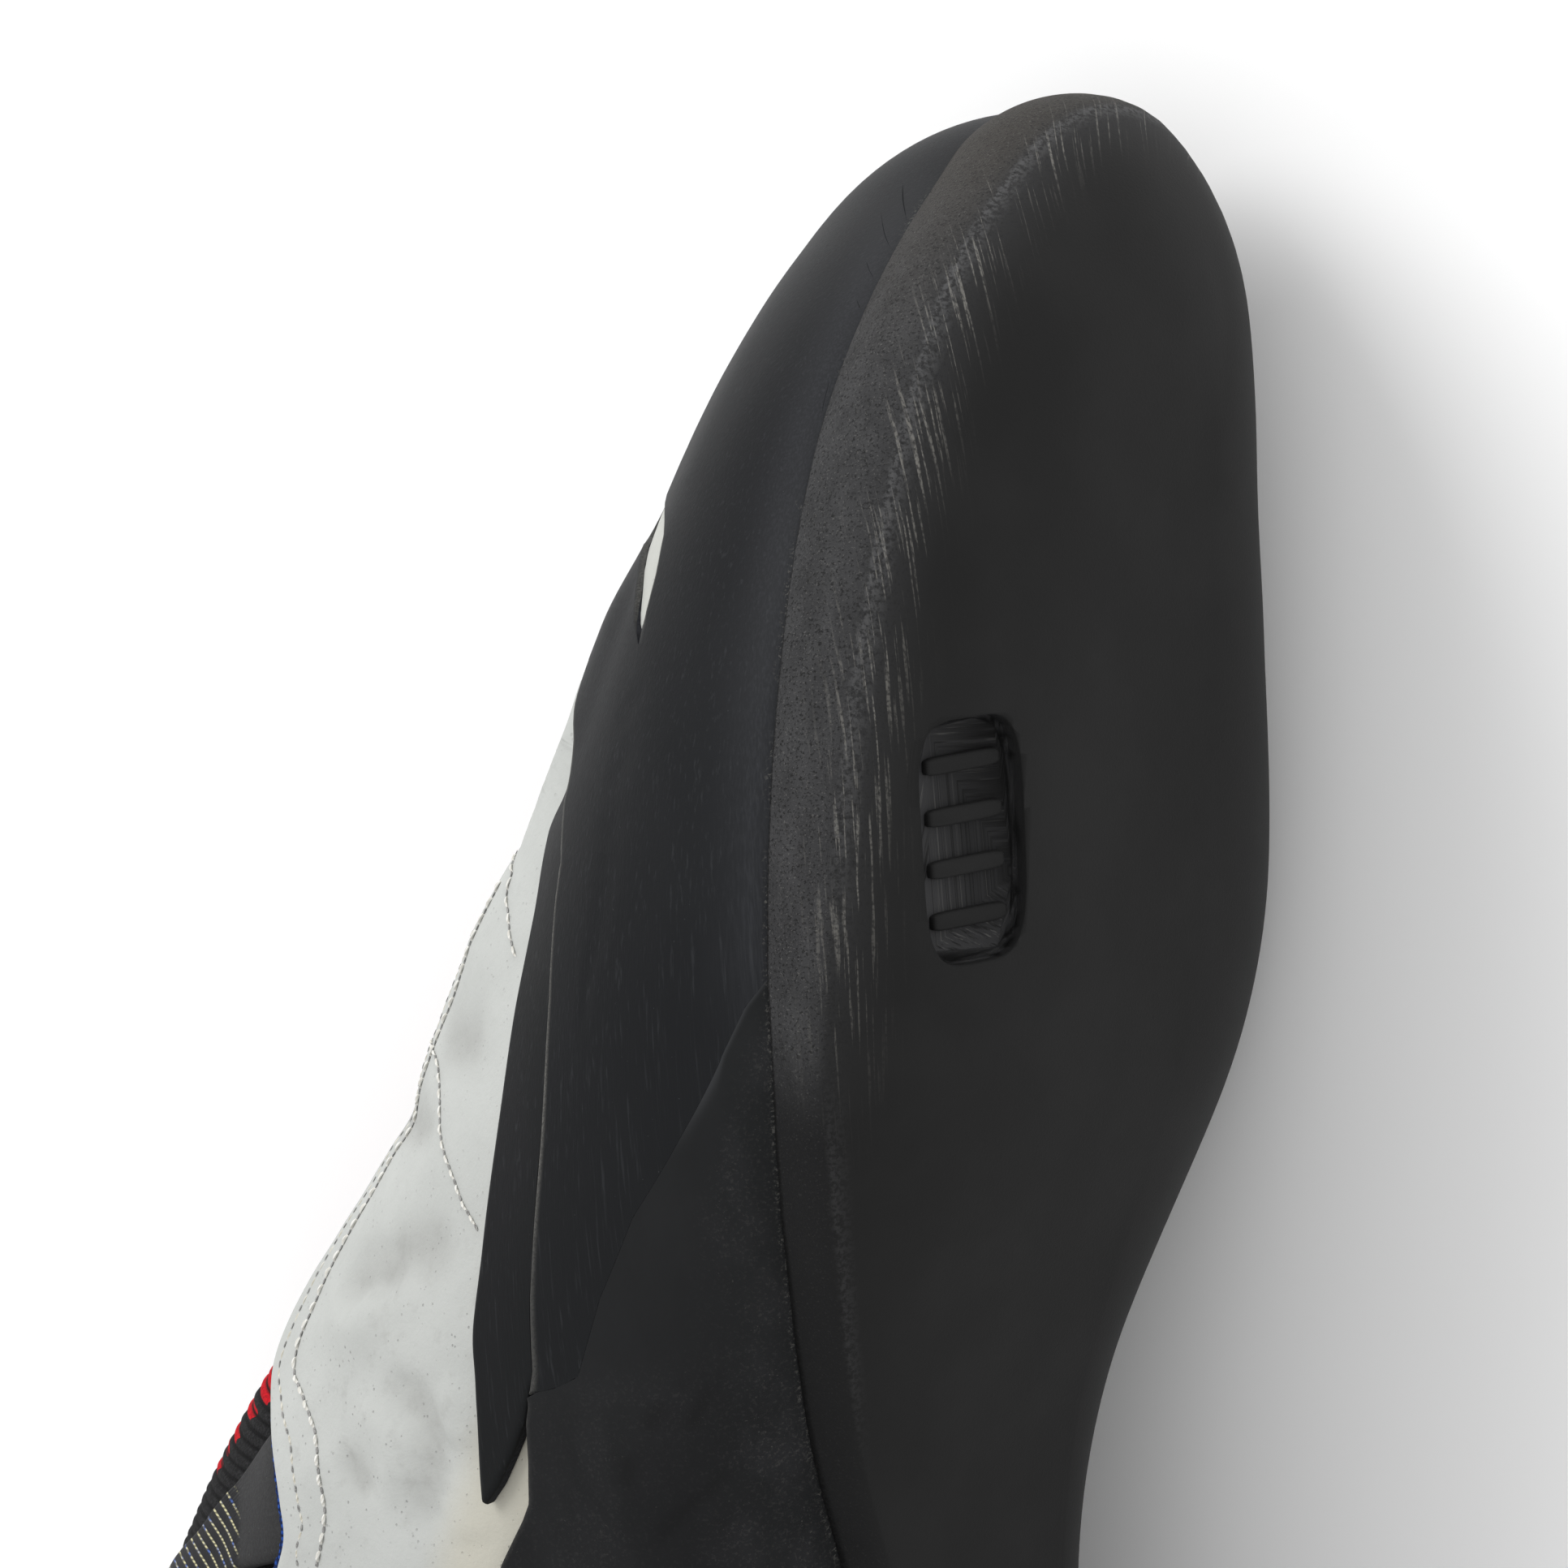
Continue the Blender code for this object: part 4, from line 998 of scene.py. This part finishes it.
def rubber_fields(w, t):
    """Masks shared by the smooth rubber pieces: painted sheen beside the sole, painted shade higher up and
    toward the heel.
    """
    w, t = np.broadcast_arrays(np.asarray(w, float) % 2.0, t)
    v = v_of(w)
    above = t - line(SOLE_EDGE, w)
    sheen = np.exp(-((above - 0.045) / 0.075) ** 2) * smooth(v, 0.70, 0.80) * (1 - smooth(v, 0.93, 0.97))
    # painted shade: darker away from the sole and toward the heel, as the light falls off
    painted_shade = smooth(above, 0.10, 0.32) * 0.6 + (1 - smooth(v, 0.60, 0.78)) * 0.5
    return {"brushed_and_sheen": np.clip(sheen, 0, 1), "painted_shade": np.clip(painted_shade, 0, 1)}


def beside_sole(w, t):
    """1 on the narrow line of the rand right beside the sole's edge."""
    return np.exp(-((t - soft_line(SOLE_EDGE, w, 0.008) - 0.004) / 0.006) ** 2)


def build_toe_rand(rubber, edge_paint):
    w = columns(0.6022, 1.0)
    above = line(HEEL_RAND_TOP, w) + 0.0004
    low = np.where(v_of(w) > SEAM_END - 0.002, MARGIN_T, np.maximum(above, MARGIN_T))
    high = np.maximum(line(TOE_RAND_TOP, w), low + 0.003)
    fin = (w > 0.80) & (w <= FIN_V)
    behind = np.interp(w, (0.80, FIN_V), (0.341, 0.290))
    middle = np.where(fin, behind, np.maximum(high - 0.03, low + 0.001))
    t = np.concatenate([levels(low, middle, 40, False, False), levels(middle, high, 10)[:, 1:]], axis=1)
    drop = np.zeros((len(w) - 1, t.shape[1] - 1), bool)
    drop[int(np.argmin(np.abs(w - FIN_V))), 39:] = True
    w = w[:, None] + 0 * t
    low, high = low[:, None], high[:, None]
    v = v_of(w)
    lateral = w <= 1
    cut = np.where(lateral, 1 - smooth(v, 0.8600, 0.8655) * (1 - smooth(v, 0.8666, 0.876)), 1)
    fall = np.clip(1 - (high - t) / 0.009, 0, 1) ** 1.2
    out = RAND_OUT - np.where(lateral & (v < FIN_V), 0.0006, 0.0004) * fall * cut
    out = out + fin_lift(w, t)
    p = surface(w, t)
    quiet = smooth(v, 0.62, 0.66) * (1 - smooth(v, 0.84, 0.86)) + smooth(v, 0.88, 0.90)
    out = out + 0.00006 * waves(p, 0.012, 31) * quiet * smooth(t, low, low + 0.05)
    for path in RELIEF:
        out = out - 0.00010 * furrow(p, path, 0.0005, 0.1)
    fields = rubber_fields(w, t)
    # top edge: ground grey, partly a painted highlight on its bevel
    ground_and_highlight_line = np.clip(2.2 * (1 - (high - t) / 0.0150), 0, 1)
    fields["fleck"] = beside_sole(w, t)
    fields["lip"] = ground_and_highlight_line * cut * np.where(lateral, 0.35 + 0.65 * smooth(v, 0.64, 0.72), 0.3)
    band = shell("toe_rand_band", w, t, RAND_IN, out, (rubber, edge_paint), fields, 40, drop)
    keep(band, "toe_rand_rubber", "toe_rand")


# two soft furrows in the rand below the fin
RELIEF = (
    ((0.863, 0.327), (0.847, 0.283), (0.818, 0.257), (0.782, 0.243), (0.748, 0.230)),
    ((0.863, 0.280), (0.840, 0.250), (0.805, 0.236), (0.775, 0.227)),
)


def build_toe_patch(rubber, edge_paint):
    w = columns(FIN_V, 1.0, fine=0.0018)
    low = line(PATCH_LOW, w)
    t = levels(low, 1 + 0 * w, 46, fine_low=True, fine_high=False)
    back = named(PATCH_BACK, t) - FIN_V
    v = v_of(w)[:, None]
    v = v + back * np.clip((0.90 - v) / (0.90 - FIN_V), 0, 1)
    w = np.where(w[:, None] <= 1, v, 2 - v)
    p = surface(w, t)
    cut = np.where(w <= 1, smooth(v, FIN_V, 0.875), 1)
    above = t - low[:, None]
    ragged = 0.00010 * waves(p, 0.0012, 41, 16) * np.clip(1 - above / 0.02, 0, 1)
    out = RAND_OUT + fin_lift(w, t) + cut * (ragged - edge_round(above, 0.008, 0.0005))
    fields = rubber_fields(w, t)
    # lip: ground grey lower edge, partly a painted highlight on its bevel
    fields["lip"] = np.clip(1 - above / 0.008, 0, 1) * 0.5 * cut
    cap = shell("toe_patch_cap", w, t, RAND_IN, out, (rubber, edge_paint), fields, 40)
    keep(cap, "toe_patch_rubber", "toe_patch")


# creases of the heel rand behind the diagonal seam: path, half width, depth
RAND_CREASES = (
    (((0.6055, -0.075), (0.5955, -0.061), (0.588, -0.054)), 0.0006, 0.00010),
    (((0.5775, -0.305), (0.563, -0.237), (0.5505, -0.172), (0.535, -0.154)), 0.0006, 0.00012),
    (((0.6135, -0.195), (0.600, -0.175), (0.589, -0.170)), 0.0006, 0.00010),
    (((0.581, -0.022), (0.572, -0.028), (0.5635, -0.034)), 0.0006, 0.00010),
)


def build_heel_rand(rubber, edge_paint):
    w = columns(0.0, SEAM_END) % 2.0
    low = MARGIN_T + 0 * w
    high = np.maximum(line(HEEL_RAND_TOP, w), MARGIN_T + 0.004)
    t = levels(low, high, 44)
    w = w[:, None] + 0 * t
    p = surface(w, t)
    v = v_of(w)
    cut = np.where(w <= 1, 1 - smooth(v, 0.596, 0.602), 1 - smooth(v, 0.63, 0.66))
    settled = 1 - smooth(t, high[:, None] - 0.05, high[:, None])
    out = RAND_OUT + 0.00009 * waves(p, 0.009, 51) * np.maximum(settled, cut)
    out = out - edge_round(high[:, None] - t, 0.008, 0.0005) * cut
    # the creases are cut in and also darkened as painted shade
    crease_shade = 0
    for path, width, depth in RAND_CREASES:
        mark = furrow(p, path, width)
        out = out - depth * mark
        crease_shade = crease_shade + mark
    below = line(HEEL_RAND_TOP, w) - t
    near_sole = 1 - smooth(t - line(SOLE_EDGE, w), 0.06, 0.34)
    seam = smooth(v, 0.60, 0.63)
    ground = np.clip(near_sole * 0.7 + 0.3 * (1 - seam), 0, 1)
    ground = ground * (1 - seam * (1 - smooth(below, 0.02, 0.16)))
    fields = rubber_fields(w, t)
    fields["fleck"] = beside_sole(w, t)
    fields["seam"] = np.exp(-(below / 0.010) ** 2) * smooth(v, 0.700, 0.735) * (w <= 1)
    fields["lip"] = np.clip(1 - (high[:, None] - t) / 0.008, 0, 1) * 0.5 * cut
    fields["ground"], fields["crease_shade"] = np.clip(ground, 0, 1), np.clip(crease_shade, 0, 1)
    band = shell("heel_rand_band", w, t, RAND_IN, out, (rubber, edge_paint), fields, 40)
    keep(band, "heel_rand_rubber", "heel_rand")


def strip_edges(w):
    """Lower and upper level of the strip, the upper one with its corners eased."""
    tail = named(STRIP_LOW, w)
    low = np.where(w < 0.603, tail, line(TOE_RAND_TOP, w) + 0.0008)
    steps = np.linspace(-0.006, 0.006, 5) * np.clip((np.asarray(w)[..., None] - 0.5535) / 0.03, 0, 1)
    high = named(STRIP_TOP, np.asarray(w)[..., None] + steps).mean(-1)
    return np.minimum(low, high - 0.0006), high


def build_strip(rubber, edge_paint):
    """Rubber strip beside the rand, with a pointed tail."""
    tail_w = (0.5535, 0.5538, 0.5543, 0.555)
    w = np.r_[tail_w, np.arange(0.5562, 0.8445, 0.0018), np.arange(0.8450, 0.8610, 0.0010)]
    low, high = strip_edges(w)
    t = levels(low, high, 14, fine_low=True)
    w = w[:, None] + 0 * t
    p = surface(w, t)
    tail = 1 - smooth(w, 0.595, 0.612)
    drop = edge_round(high[:, None] - t, 0.006, 0.0003)
    drop = drop + tail * edge_round(t - low[:, None], 0.010, 0.0005)
    end = smooth(w, 0.825, 0.845)
    base = (RAND_IN + STRIP_WALL) * (1 - end) + (UPPER_WALL + 0.0006) * end
    out = base - drop * (1 - 0.6 * end) + tail * 0.0002
    out = out + 0.00004 * waves(p, 0.01, 61) * (1 - end) + bulge(w, t)
    inner = np.minimum(RAND_IN - 0.0003 + bulge(w, t), out - 0.0003)
    band = shell("side_strip_band", w, t, inner, out, (rubber, edge_paint), rubber_fields(w, t), 40)
    keep(band, "side_strip_rubber", "side_strip")


def build_insole(board):
    w = columns(0.0, 1.0, fine=0.006, coarse=0.008)
    high = MARGIN_T - 0.014 + 0 * w
    s = np.linspace(0, 1, 24)[None, :]
    t = -2 / np.pi * np.arccos(np.cos(high[:, None] * np.pi / 2) * s ** 2)
    w = w[:, None] + 0 * t
    keep(shell("insole_board_sheet", w, t, 0.0, RAND_OUT - GAP, (board,)), "insole_board", "insole")


def across(v, lateral_t, medial_t, half):
    """Grid over the ridge, from the lateral level to the medial level."""
    s = np.linspace(-1, 1, 2 * half + 1)[None, :]
    v = v[:, None]
    reach = np.where(s < 0, 1 - lateral_t[:, None], 1 - medial_t[:, None])
    return np.where(s < 0, v, 2 - v) + 0 * s, 1 - np.abs(s) * reach


# red blocks of the knit: v of the middle, half length, level where it starts
RED_BLOCKS = (
    (0.577, 0.004, 0.745), (0.567, 0.0026, 0.765), (0.555, 0.002, 0.77), (0.5485, 0.0018, 0.78),
    (0.541, 0.0032, 0.79), (0.62, 0.004, 0.8), (0.66, 0.003, 0.83), (0.7, 0.004, 0.83),
    (0.76, 0.005, 0.76), (0.812, 0.006, 0.74),
)
TONGUE_RISE = (
    (0.38, 0.0006), (0.46, 0.004), (0.5, 0.0053), (0.56, 0.0056), (0.6, 0.0058), (0.8, 0.0054),
    (0.835, 0.0036), (0.848, 0.0004), (0.856, 0.0),
)


def tongue_lift(w, t):
    """Outside of the knit over the form, arching up from the throat's edges."""
    x = throat_share(w, t)
    return -STRAP_THICK - 0.0013 + named(TONGUE_RISE, v_of(w)) * 4 * x * (1 - x)


def build_tongue(knit):
    v = np.linspace(0.38, 0.856, 430)
    low = np.maximum(line(TOPLINE, v) - 0.14, 0.34)
    w, t = across(v, low, low, 34)
    x = throat_share(w, t)
    vv = v_of(w)
    rib = np.cos(vv / 0.0050 * 2 * np.pi)
    outer = tongue_lift(w, t) + 0.00012 * rib * smooth(x * (1 - x), 0, 0.05)
    block = np.zeros(w.shape)
    for place, half, start in RED_BLOCKS:
        inside = np.minimum((half - np.abs(vv - place)) / 0.0012, (t - start) / 0.01) * (w <= 1)
        block = np.maximum(block, np.clip(inside + 0.5, 0, 1))
    fields = {"rib": rib * 0.5 + 0.5, "block": block}
    sheet = shell("tongue_knit_sheet", w, t, outer - TONGUE_THICK, outer, (knit,), fields, 70)
    keep(sheet, "tongue_knit", "tongue")


# front edge of the strap: signed level over the ridge, lateral below zero, and v there
STRAP_FRONT = (
    (-0.62, 0.6), (-0.44, 0.585), (-0.36, 0.568), (-0.345, 0.5575), (-0.323, 0.5405), (-0.287, 0.521),
    (-0.182, 0.496), (-0.1, 0.482), (0.0, 0.47), (0.62, 0.535),
)
WOVEN_FROM = (
    (0.38, 0.36), (0.5, 0.54), (0.513, 0.568), (0.528, 0.603), (0.5355, 0.638), (0.539, 0.673),
    (0.545, 0.7), (0.56, 0.8), (0.6, 1.0),
)
# width of the strap as a share of the way along
STRAP_LONG = 0.075
# directions across and along the threads of the woven end, on the shoe
WEFT_WAY = (-0.5138, 0.3579, -0.7820)
WARP_WAY = (-0.1016, -0.9297, -0.3588)


def build_strap(web):
    rows_v = np.r_[0, 0.006, 0.016, np.linspace(0.03, 0.97, 44), 0.984, 0.994, 1]
    count = len(rows_v)
    w, t = across(rows_v, np.full(count, 0.40), np.full(count, 0.38), 90)
    level = np.where(w <= 1, -(1 - t), 1 - t)
    steps = np.linspace(-0.012, 0.012, 5)
    front = sum(named(STRAP_FRONT, level + q) for q in steps) / 5
    v = front - STRAP_LONG * (1 - rows_v[:, None])
    medial = np.arange(w.shape[1])[None, :] > 90
    w = np.where(medial, 2 - v, v)
    x = throat_share(w, t)
    over = tongue_lift(w, t) + 0.0006 + 0.0023 * (1 - smooth(x, 0, 0.20))
    side = RAND_IN + 0.0006 + bulge(w, t) + STRAP_THICK
    outer = over + (side - over) * smooth(x, 0.68, 0.90)
    inner = outer - STRAP_THICK + 0.0004
    edge = np.minimum(rows_v, 1 - rows_v)[:, None]
    woven = smooth((t - named(WOVEN_FROM, v)) * np.where(medial, 0, 1), 0.0, 0.012)
    p = surface(w, t) * 1000
    outer = outer - 0.0005 * np.clip(1 - edge / 0.05, 0, 1) ** 2 + 0.00012 * woven
    lip = np.clip(1 - (1 - rows_v[:, None]) / 0.03, 0, 1)
    fields = {"woven": woven, "lip": lip + 0 * t}
    fields |= {"weft": p @ np.array(WEFT_WAY), "warp": p @ np.array(WARP_WAY)}
    keep(shell("strap_band", w, t, inner, outer, (web,), fields, 60), "strap_web", "strap")


# middle of the recess on the form
POCKET_PLACE = (0.826, -0.614)


def pocket_frame():
    c, n = surface(*POCKET_PLACE), Vector(normal(*POCKET_PLACE))
    c = Vector(c) + n * OUTSOLE_OUT
    side = Vector((0, 1, 0)).cross(n).normalized()
    return Matrix.Translation(c) @ Matrix((side, n.cross(side), n)).transposed().to_4x4()


def rounded_prism(long, wide, low, high, power=0.5, sides=48, soft=0.0004):
    """Points and faces of a plain rounded block with softened rims."""
    rings = ((low, -soft), (low + soft * 0.3, -soft * 0.3), (low + soft, 0), (high, 0))
    points = []
    for z, grow in rings:
        for k in range(sides):
            a = 2 * np.pi * k / sides
            points.append((np.sign(np.cos(a)) * abs(np.cos(a)) ** power * (wide / 2 + grow),
                           np.sign(np.sin(a)) * abs(np.sin(a)) ** power * (long / 2 + grow), z))
    return np.array(points), ring_faces(len(rings), sides)


def cut_pocket(outsole, rubber):
    """Plain recess under the ball with a few straight ribs on its floor."""
    place = np.array(pocket_frame())
    points, faces = rounded_prism(POCKET_LONG, POCKET_WIDE, -POCKET_DEEP, 0.003)
    cutter = make("pocket_cutter", points @ place[:3, :3].T + place[:3, 3], faces, (rubber,))
    mod = outsole.modifiers.new("pocket", "BOOLEAN")
    mod.operation, mod.solver, mod.object = "DIFFERENCE", "EXACT", cutter
    graph = bpy.context.evaluated_depsgraph_get()
    cut = outsole.evaluated_get(graph)
    mesh = bpy.data.meshes.new_from_object(cut, preserve_all_data_layers=True, depsgraph=graph)
    outsole.modifiers.clear()
    outsole.data = mesh
    bpy.data.objects.remove(cutter)
    parts = []
    for k in range(4):
        p, f = rounded_prism(0.0016, POCKET_WIDE * 0.72, -0.0008, 0.0, 0.35, 40, 0.0003)
        p[:, 2] = -POCKET_DEEP - 0.0001 - p[:, 2]
        p[:, 1] += (k - 1.5) * POCKET_LONG * 0.21
        parts.append((p @ place[:3, :3].T + place[:3, 3], f))
    keep(make("pocket_ribs", *join(parts), (rubber,)), "outsole_rubber")


# fine dark cracks in the rand beside the sole at the toe
CRACKS = (
    ((0.960, 0.120), (0.953, 0.080), (0.9465, 0.029), (0.945, 0.015)),
    ((0.950, 0.123), (0.9435, 0.071), (0.939, 0.024), (0.9365, -0.010)),
    ((0.938, 0.086), (0.934, 0.049), (0.9305, 0.003)),
    ((0.928, 0.045), (0.9255, 0.019), (0.924, -0.004)),
    ((0.914, 0.028), (0.910, 0.010), (0.906, 0.003), (0.9025, -0.019)),
)


def build_marks(crack_paint, cream):
    """Fine cracks beside the sole, and the raw edge lines between leather and rubber."""
    flush = lambda w, t: RAND_OUT - 0.00001 + 0 * w
    keep(strands("rand_cracks", CRACKS, flush, 0.00004, 0.00004, crack_paint, 0.4), "toe_rand_rubber")
    strip_w = np.linspace(0.556, 0.858, 90)
    heel_w = np.linspace(0.545, 0.600, 18)
    toe_w = np.linspace(0.8675, 0.8965, 16)
    edges = (np.stack([strip_w, strip_edges(strip_w)[1] + 0.0006], -1),
             np.stack([heel_w, line(HEEL_RAND_TOP, heel_w) + 0.001], -1),
             np.stack([toe_w, line(TOE_RAND_TOP, toe_w) + 0.001], -1))
    lift = lambda w, t: RAND_IN + 0.0002 - 0.0003 * smooth(w, 0.825, 0.845) + bulge(w, t)
    keep(strands("raw_edge_line", edges, lift, 0.00013, 0.00030, cream), "upper_leather")


THREAD_PITCH = 0.00175
THREAD_LENGTH = 0.00122
THREAD_RADIUS = 0.00021
HOLE_RADIUS = 0.00020


def build_stitches(thread, worn_thread, hole):
    proud = lambda w, t: leather_lift(w, t) + 0.00010
    sunk = lambda w, t: leather_lift(w, t) - 0.00006
    thin = THREAD_RADIUS * 0.72
    seams = (WAIST_SEAM, VAMP_SEAM)
    for kind, name, rows, lift, radius, paint in (
            (stitches, "edge_stitches", ROWS[0::2], sunk, thin, worn_thread),
            (stitches, "throat_stitches", ROWS[1::2], proud, THREAD_RADIUS, thread),
            (holes, "throat_needle_holes", ROWS[1::2], proud, HOLE_RADIUS, hole),
            (holes, "edge_needle_holes", ROWS[0::2], proud, HOLE_RADIUS * 0.7, hole),
            (stitches, "seam_stitches", seams, proud, thin, thread),
            (holes, "seam_needle_holes", seams, proud, HOLE_RADIUS * 0.8, hole)):
        keep(kind(name, rows, lift, radius, paint), "upper_leather")


def place_camera():
    turn, rise, roll = np.radians((CAMERA_TURN, CAMERA_RISE, CAMERA_ROLL))
    back = np.array((np.sin(turn) * np.cos(rise), np.sin(rise), -np.cos(turn) * np.cos(rise)))
    back /= np.linalg.norm(back)
    up = np.array((0, 1.0, 0)) - back[1] * back
    up /= np.linalg.norm(up)
    right = -np.cross(back, up)
    right, up = (np.cos(roll) * right - np.sin(roll) * up, np.sin(roll) * right + np.cos(roll) * up)
    eye = np.array(CAMERA_TARGET) + CAMERA_AWAY * back
    aim = np.array(CAMERA_TARGET) + right * CAMERA_AIM[0] + up * CAMERA_AIM[1]
    eye, aim = POSE @ Vector(eye), POSE @ Vector(aim)
    z = (eye - aim).normalized()
    x = (POSE.to_3x3() @ Vector(up)).cross(z).normalized()
    y = z.cross(x)
    data = bpy.data.cameras.new("camera")
    data.lens = CAMERA_LENS
    data.sensor_width = 36.0
    data.clip_start, data.clip_end = 0.05, 20.0
    camera = bpy.data.objects.new("camera", data)
    bpy.context.scene.collection.objects.link(camera)
    camera.matrix_world = Matrix.Translation(eye) @ Matrix((x, y, z)).transposed().to_4x4()
    bpy.context.scene.camera = camera
    return camera


# lamps: name, direction from the shoe in the camera's own axes, distance, size, power
LAMPS = (
    ("key_left", (-0.85, 0.60, 0.45), 1.3, 0.7, 8.5),
    ("fill_right", (0.9, 0.2, 0.5), 1.4, 1.0, 2.0),
    ("top", (0.1, 1.0, 0.35), 1.3, 0.8, 3.0),
)


def place_lights(camera):
    bpy.context.scene.view_settings.view_transform = "Standard"
    world = bpy.data.worlds.new("studio")
    bpy.context.scene.world = world
    world.use_nodes = True
    background = world.node_tree.nodes["Background"]
    background.inputs["Color"].default_value = (1.0, 1.0, 1.0, 1.0)
    background.inputs["Strength"].default_value = 0.88
    basis = camera.matrix_world.to_3x3()
    centre = camera.matrix_world @ Vector((0, 0, -CAMERA_AWAY))
    for name, way, away, size, power in LAMPS:
        data = bpy.data.lights.new(name, "AREA")
        data.size = size
        data.energy = power
        lamp = bpy.data.objects.new(name, data)
        bpy.context.scene.collection.objects.link(lamp)
        direction = (basis @ Vector(way)).normalized()
        lamp.location = centre + direction * away
        lamp.rotation_mode = "QUATERNION"
        lamp.rotation_quaternion = direction.to_track_quat("Z", "Y")


def lay_floor():
    bm = bmesh.new()
    bmesh.ops.create_grid(bm, x_segments=2, y_segments=2, size=4.0)
    mesh = bpy.data.meshes.new("floor")
    bm.to_mesh(mesh)
    bm.free()
    floor = bpy.data.objects.new("floor", mesh)
    bpy.context.scene.collection.objects.link(floor)
    mesh.materials.append(floor_paint())
    floor.location.z = -0.0002


def build_all():
    rand_paint = smooth_rubber("toe_rand_finish", (24, 25, 27), (28, 29, 31))
    patch_paint = smooth_rubber("toe_patch_finish", (24, 25, 27), (28, 29, 31))
    strip_paint = smooth_rubber("side_strip_finish", (24, 25, 26), (28, 28, 30))
    cut_edge = dark_mark("rubber_cut_edge", (38, 39, 43))
    hide_edge = fibres("leather_cut_edge", (196, 190, 170), (150, 140, 118), (0.85, 0.1),
                       (2.0, 4.0, 0.7, (1, 0.3, 1)), 0.35, 0.0001, 0.7)
    raw_edge = fibres("cream_line_finish", (205, 184, 146), (126, 104, 74), (0.7, 0.2),
                      (1.6, 4.0, 0.7, (1, 0.4, 1)), 0.35, 0.00008, 0.6)
    board = fibres("insole_board_finish", (150, 142, 126), (112, 104, 90), (0.88, 0.1),
                   (1.4, 5.0, 0.7, (1, 0.4, 1)), 0.3, 0.00018, 0.6)
    sole_paint = outsole_rubber()
    cut_pocket(build_outsole(sole_paint), sole_paint)
    build_toe_rand(rand_paint, cut_edge)
    build_toe_patch(patch_paint, cut_edge)
    build_heel_rand(ground_rubber(), cut_edge)
    build_strip(strip_paint, cut_edge)
    build_upper(leather(), hide_edge, lining_cloth("lining_finish", (150, 150, 146), (182, 181, 175)))
    build_lining(lining_cloth("throat_cloth_finish", (20, 32, 66), (36, 74, 150)))
    build_insole(board)
    build_tongue(knit_cloth())
    build_strap(strap_web())
    build_marks(dark_mark("crack_finish", (18, 19, 22)), raw_edge)
    build_stitches(thread_paint("thread_finish", (222, 221, 216), (204, 202, 194)),
                   thread_paint("worn_thread_finish", (204, 201, 190), (182, 178, 164)),
                   # grey beads as painted shade of the needle holes
                   dark_mark("needle_hole_painted_shade", (150, 149, 147)))


camera = place_camera()
place_lights(camera)
lay_floor()
build_all()
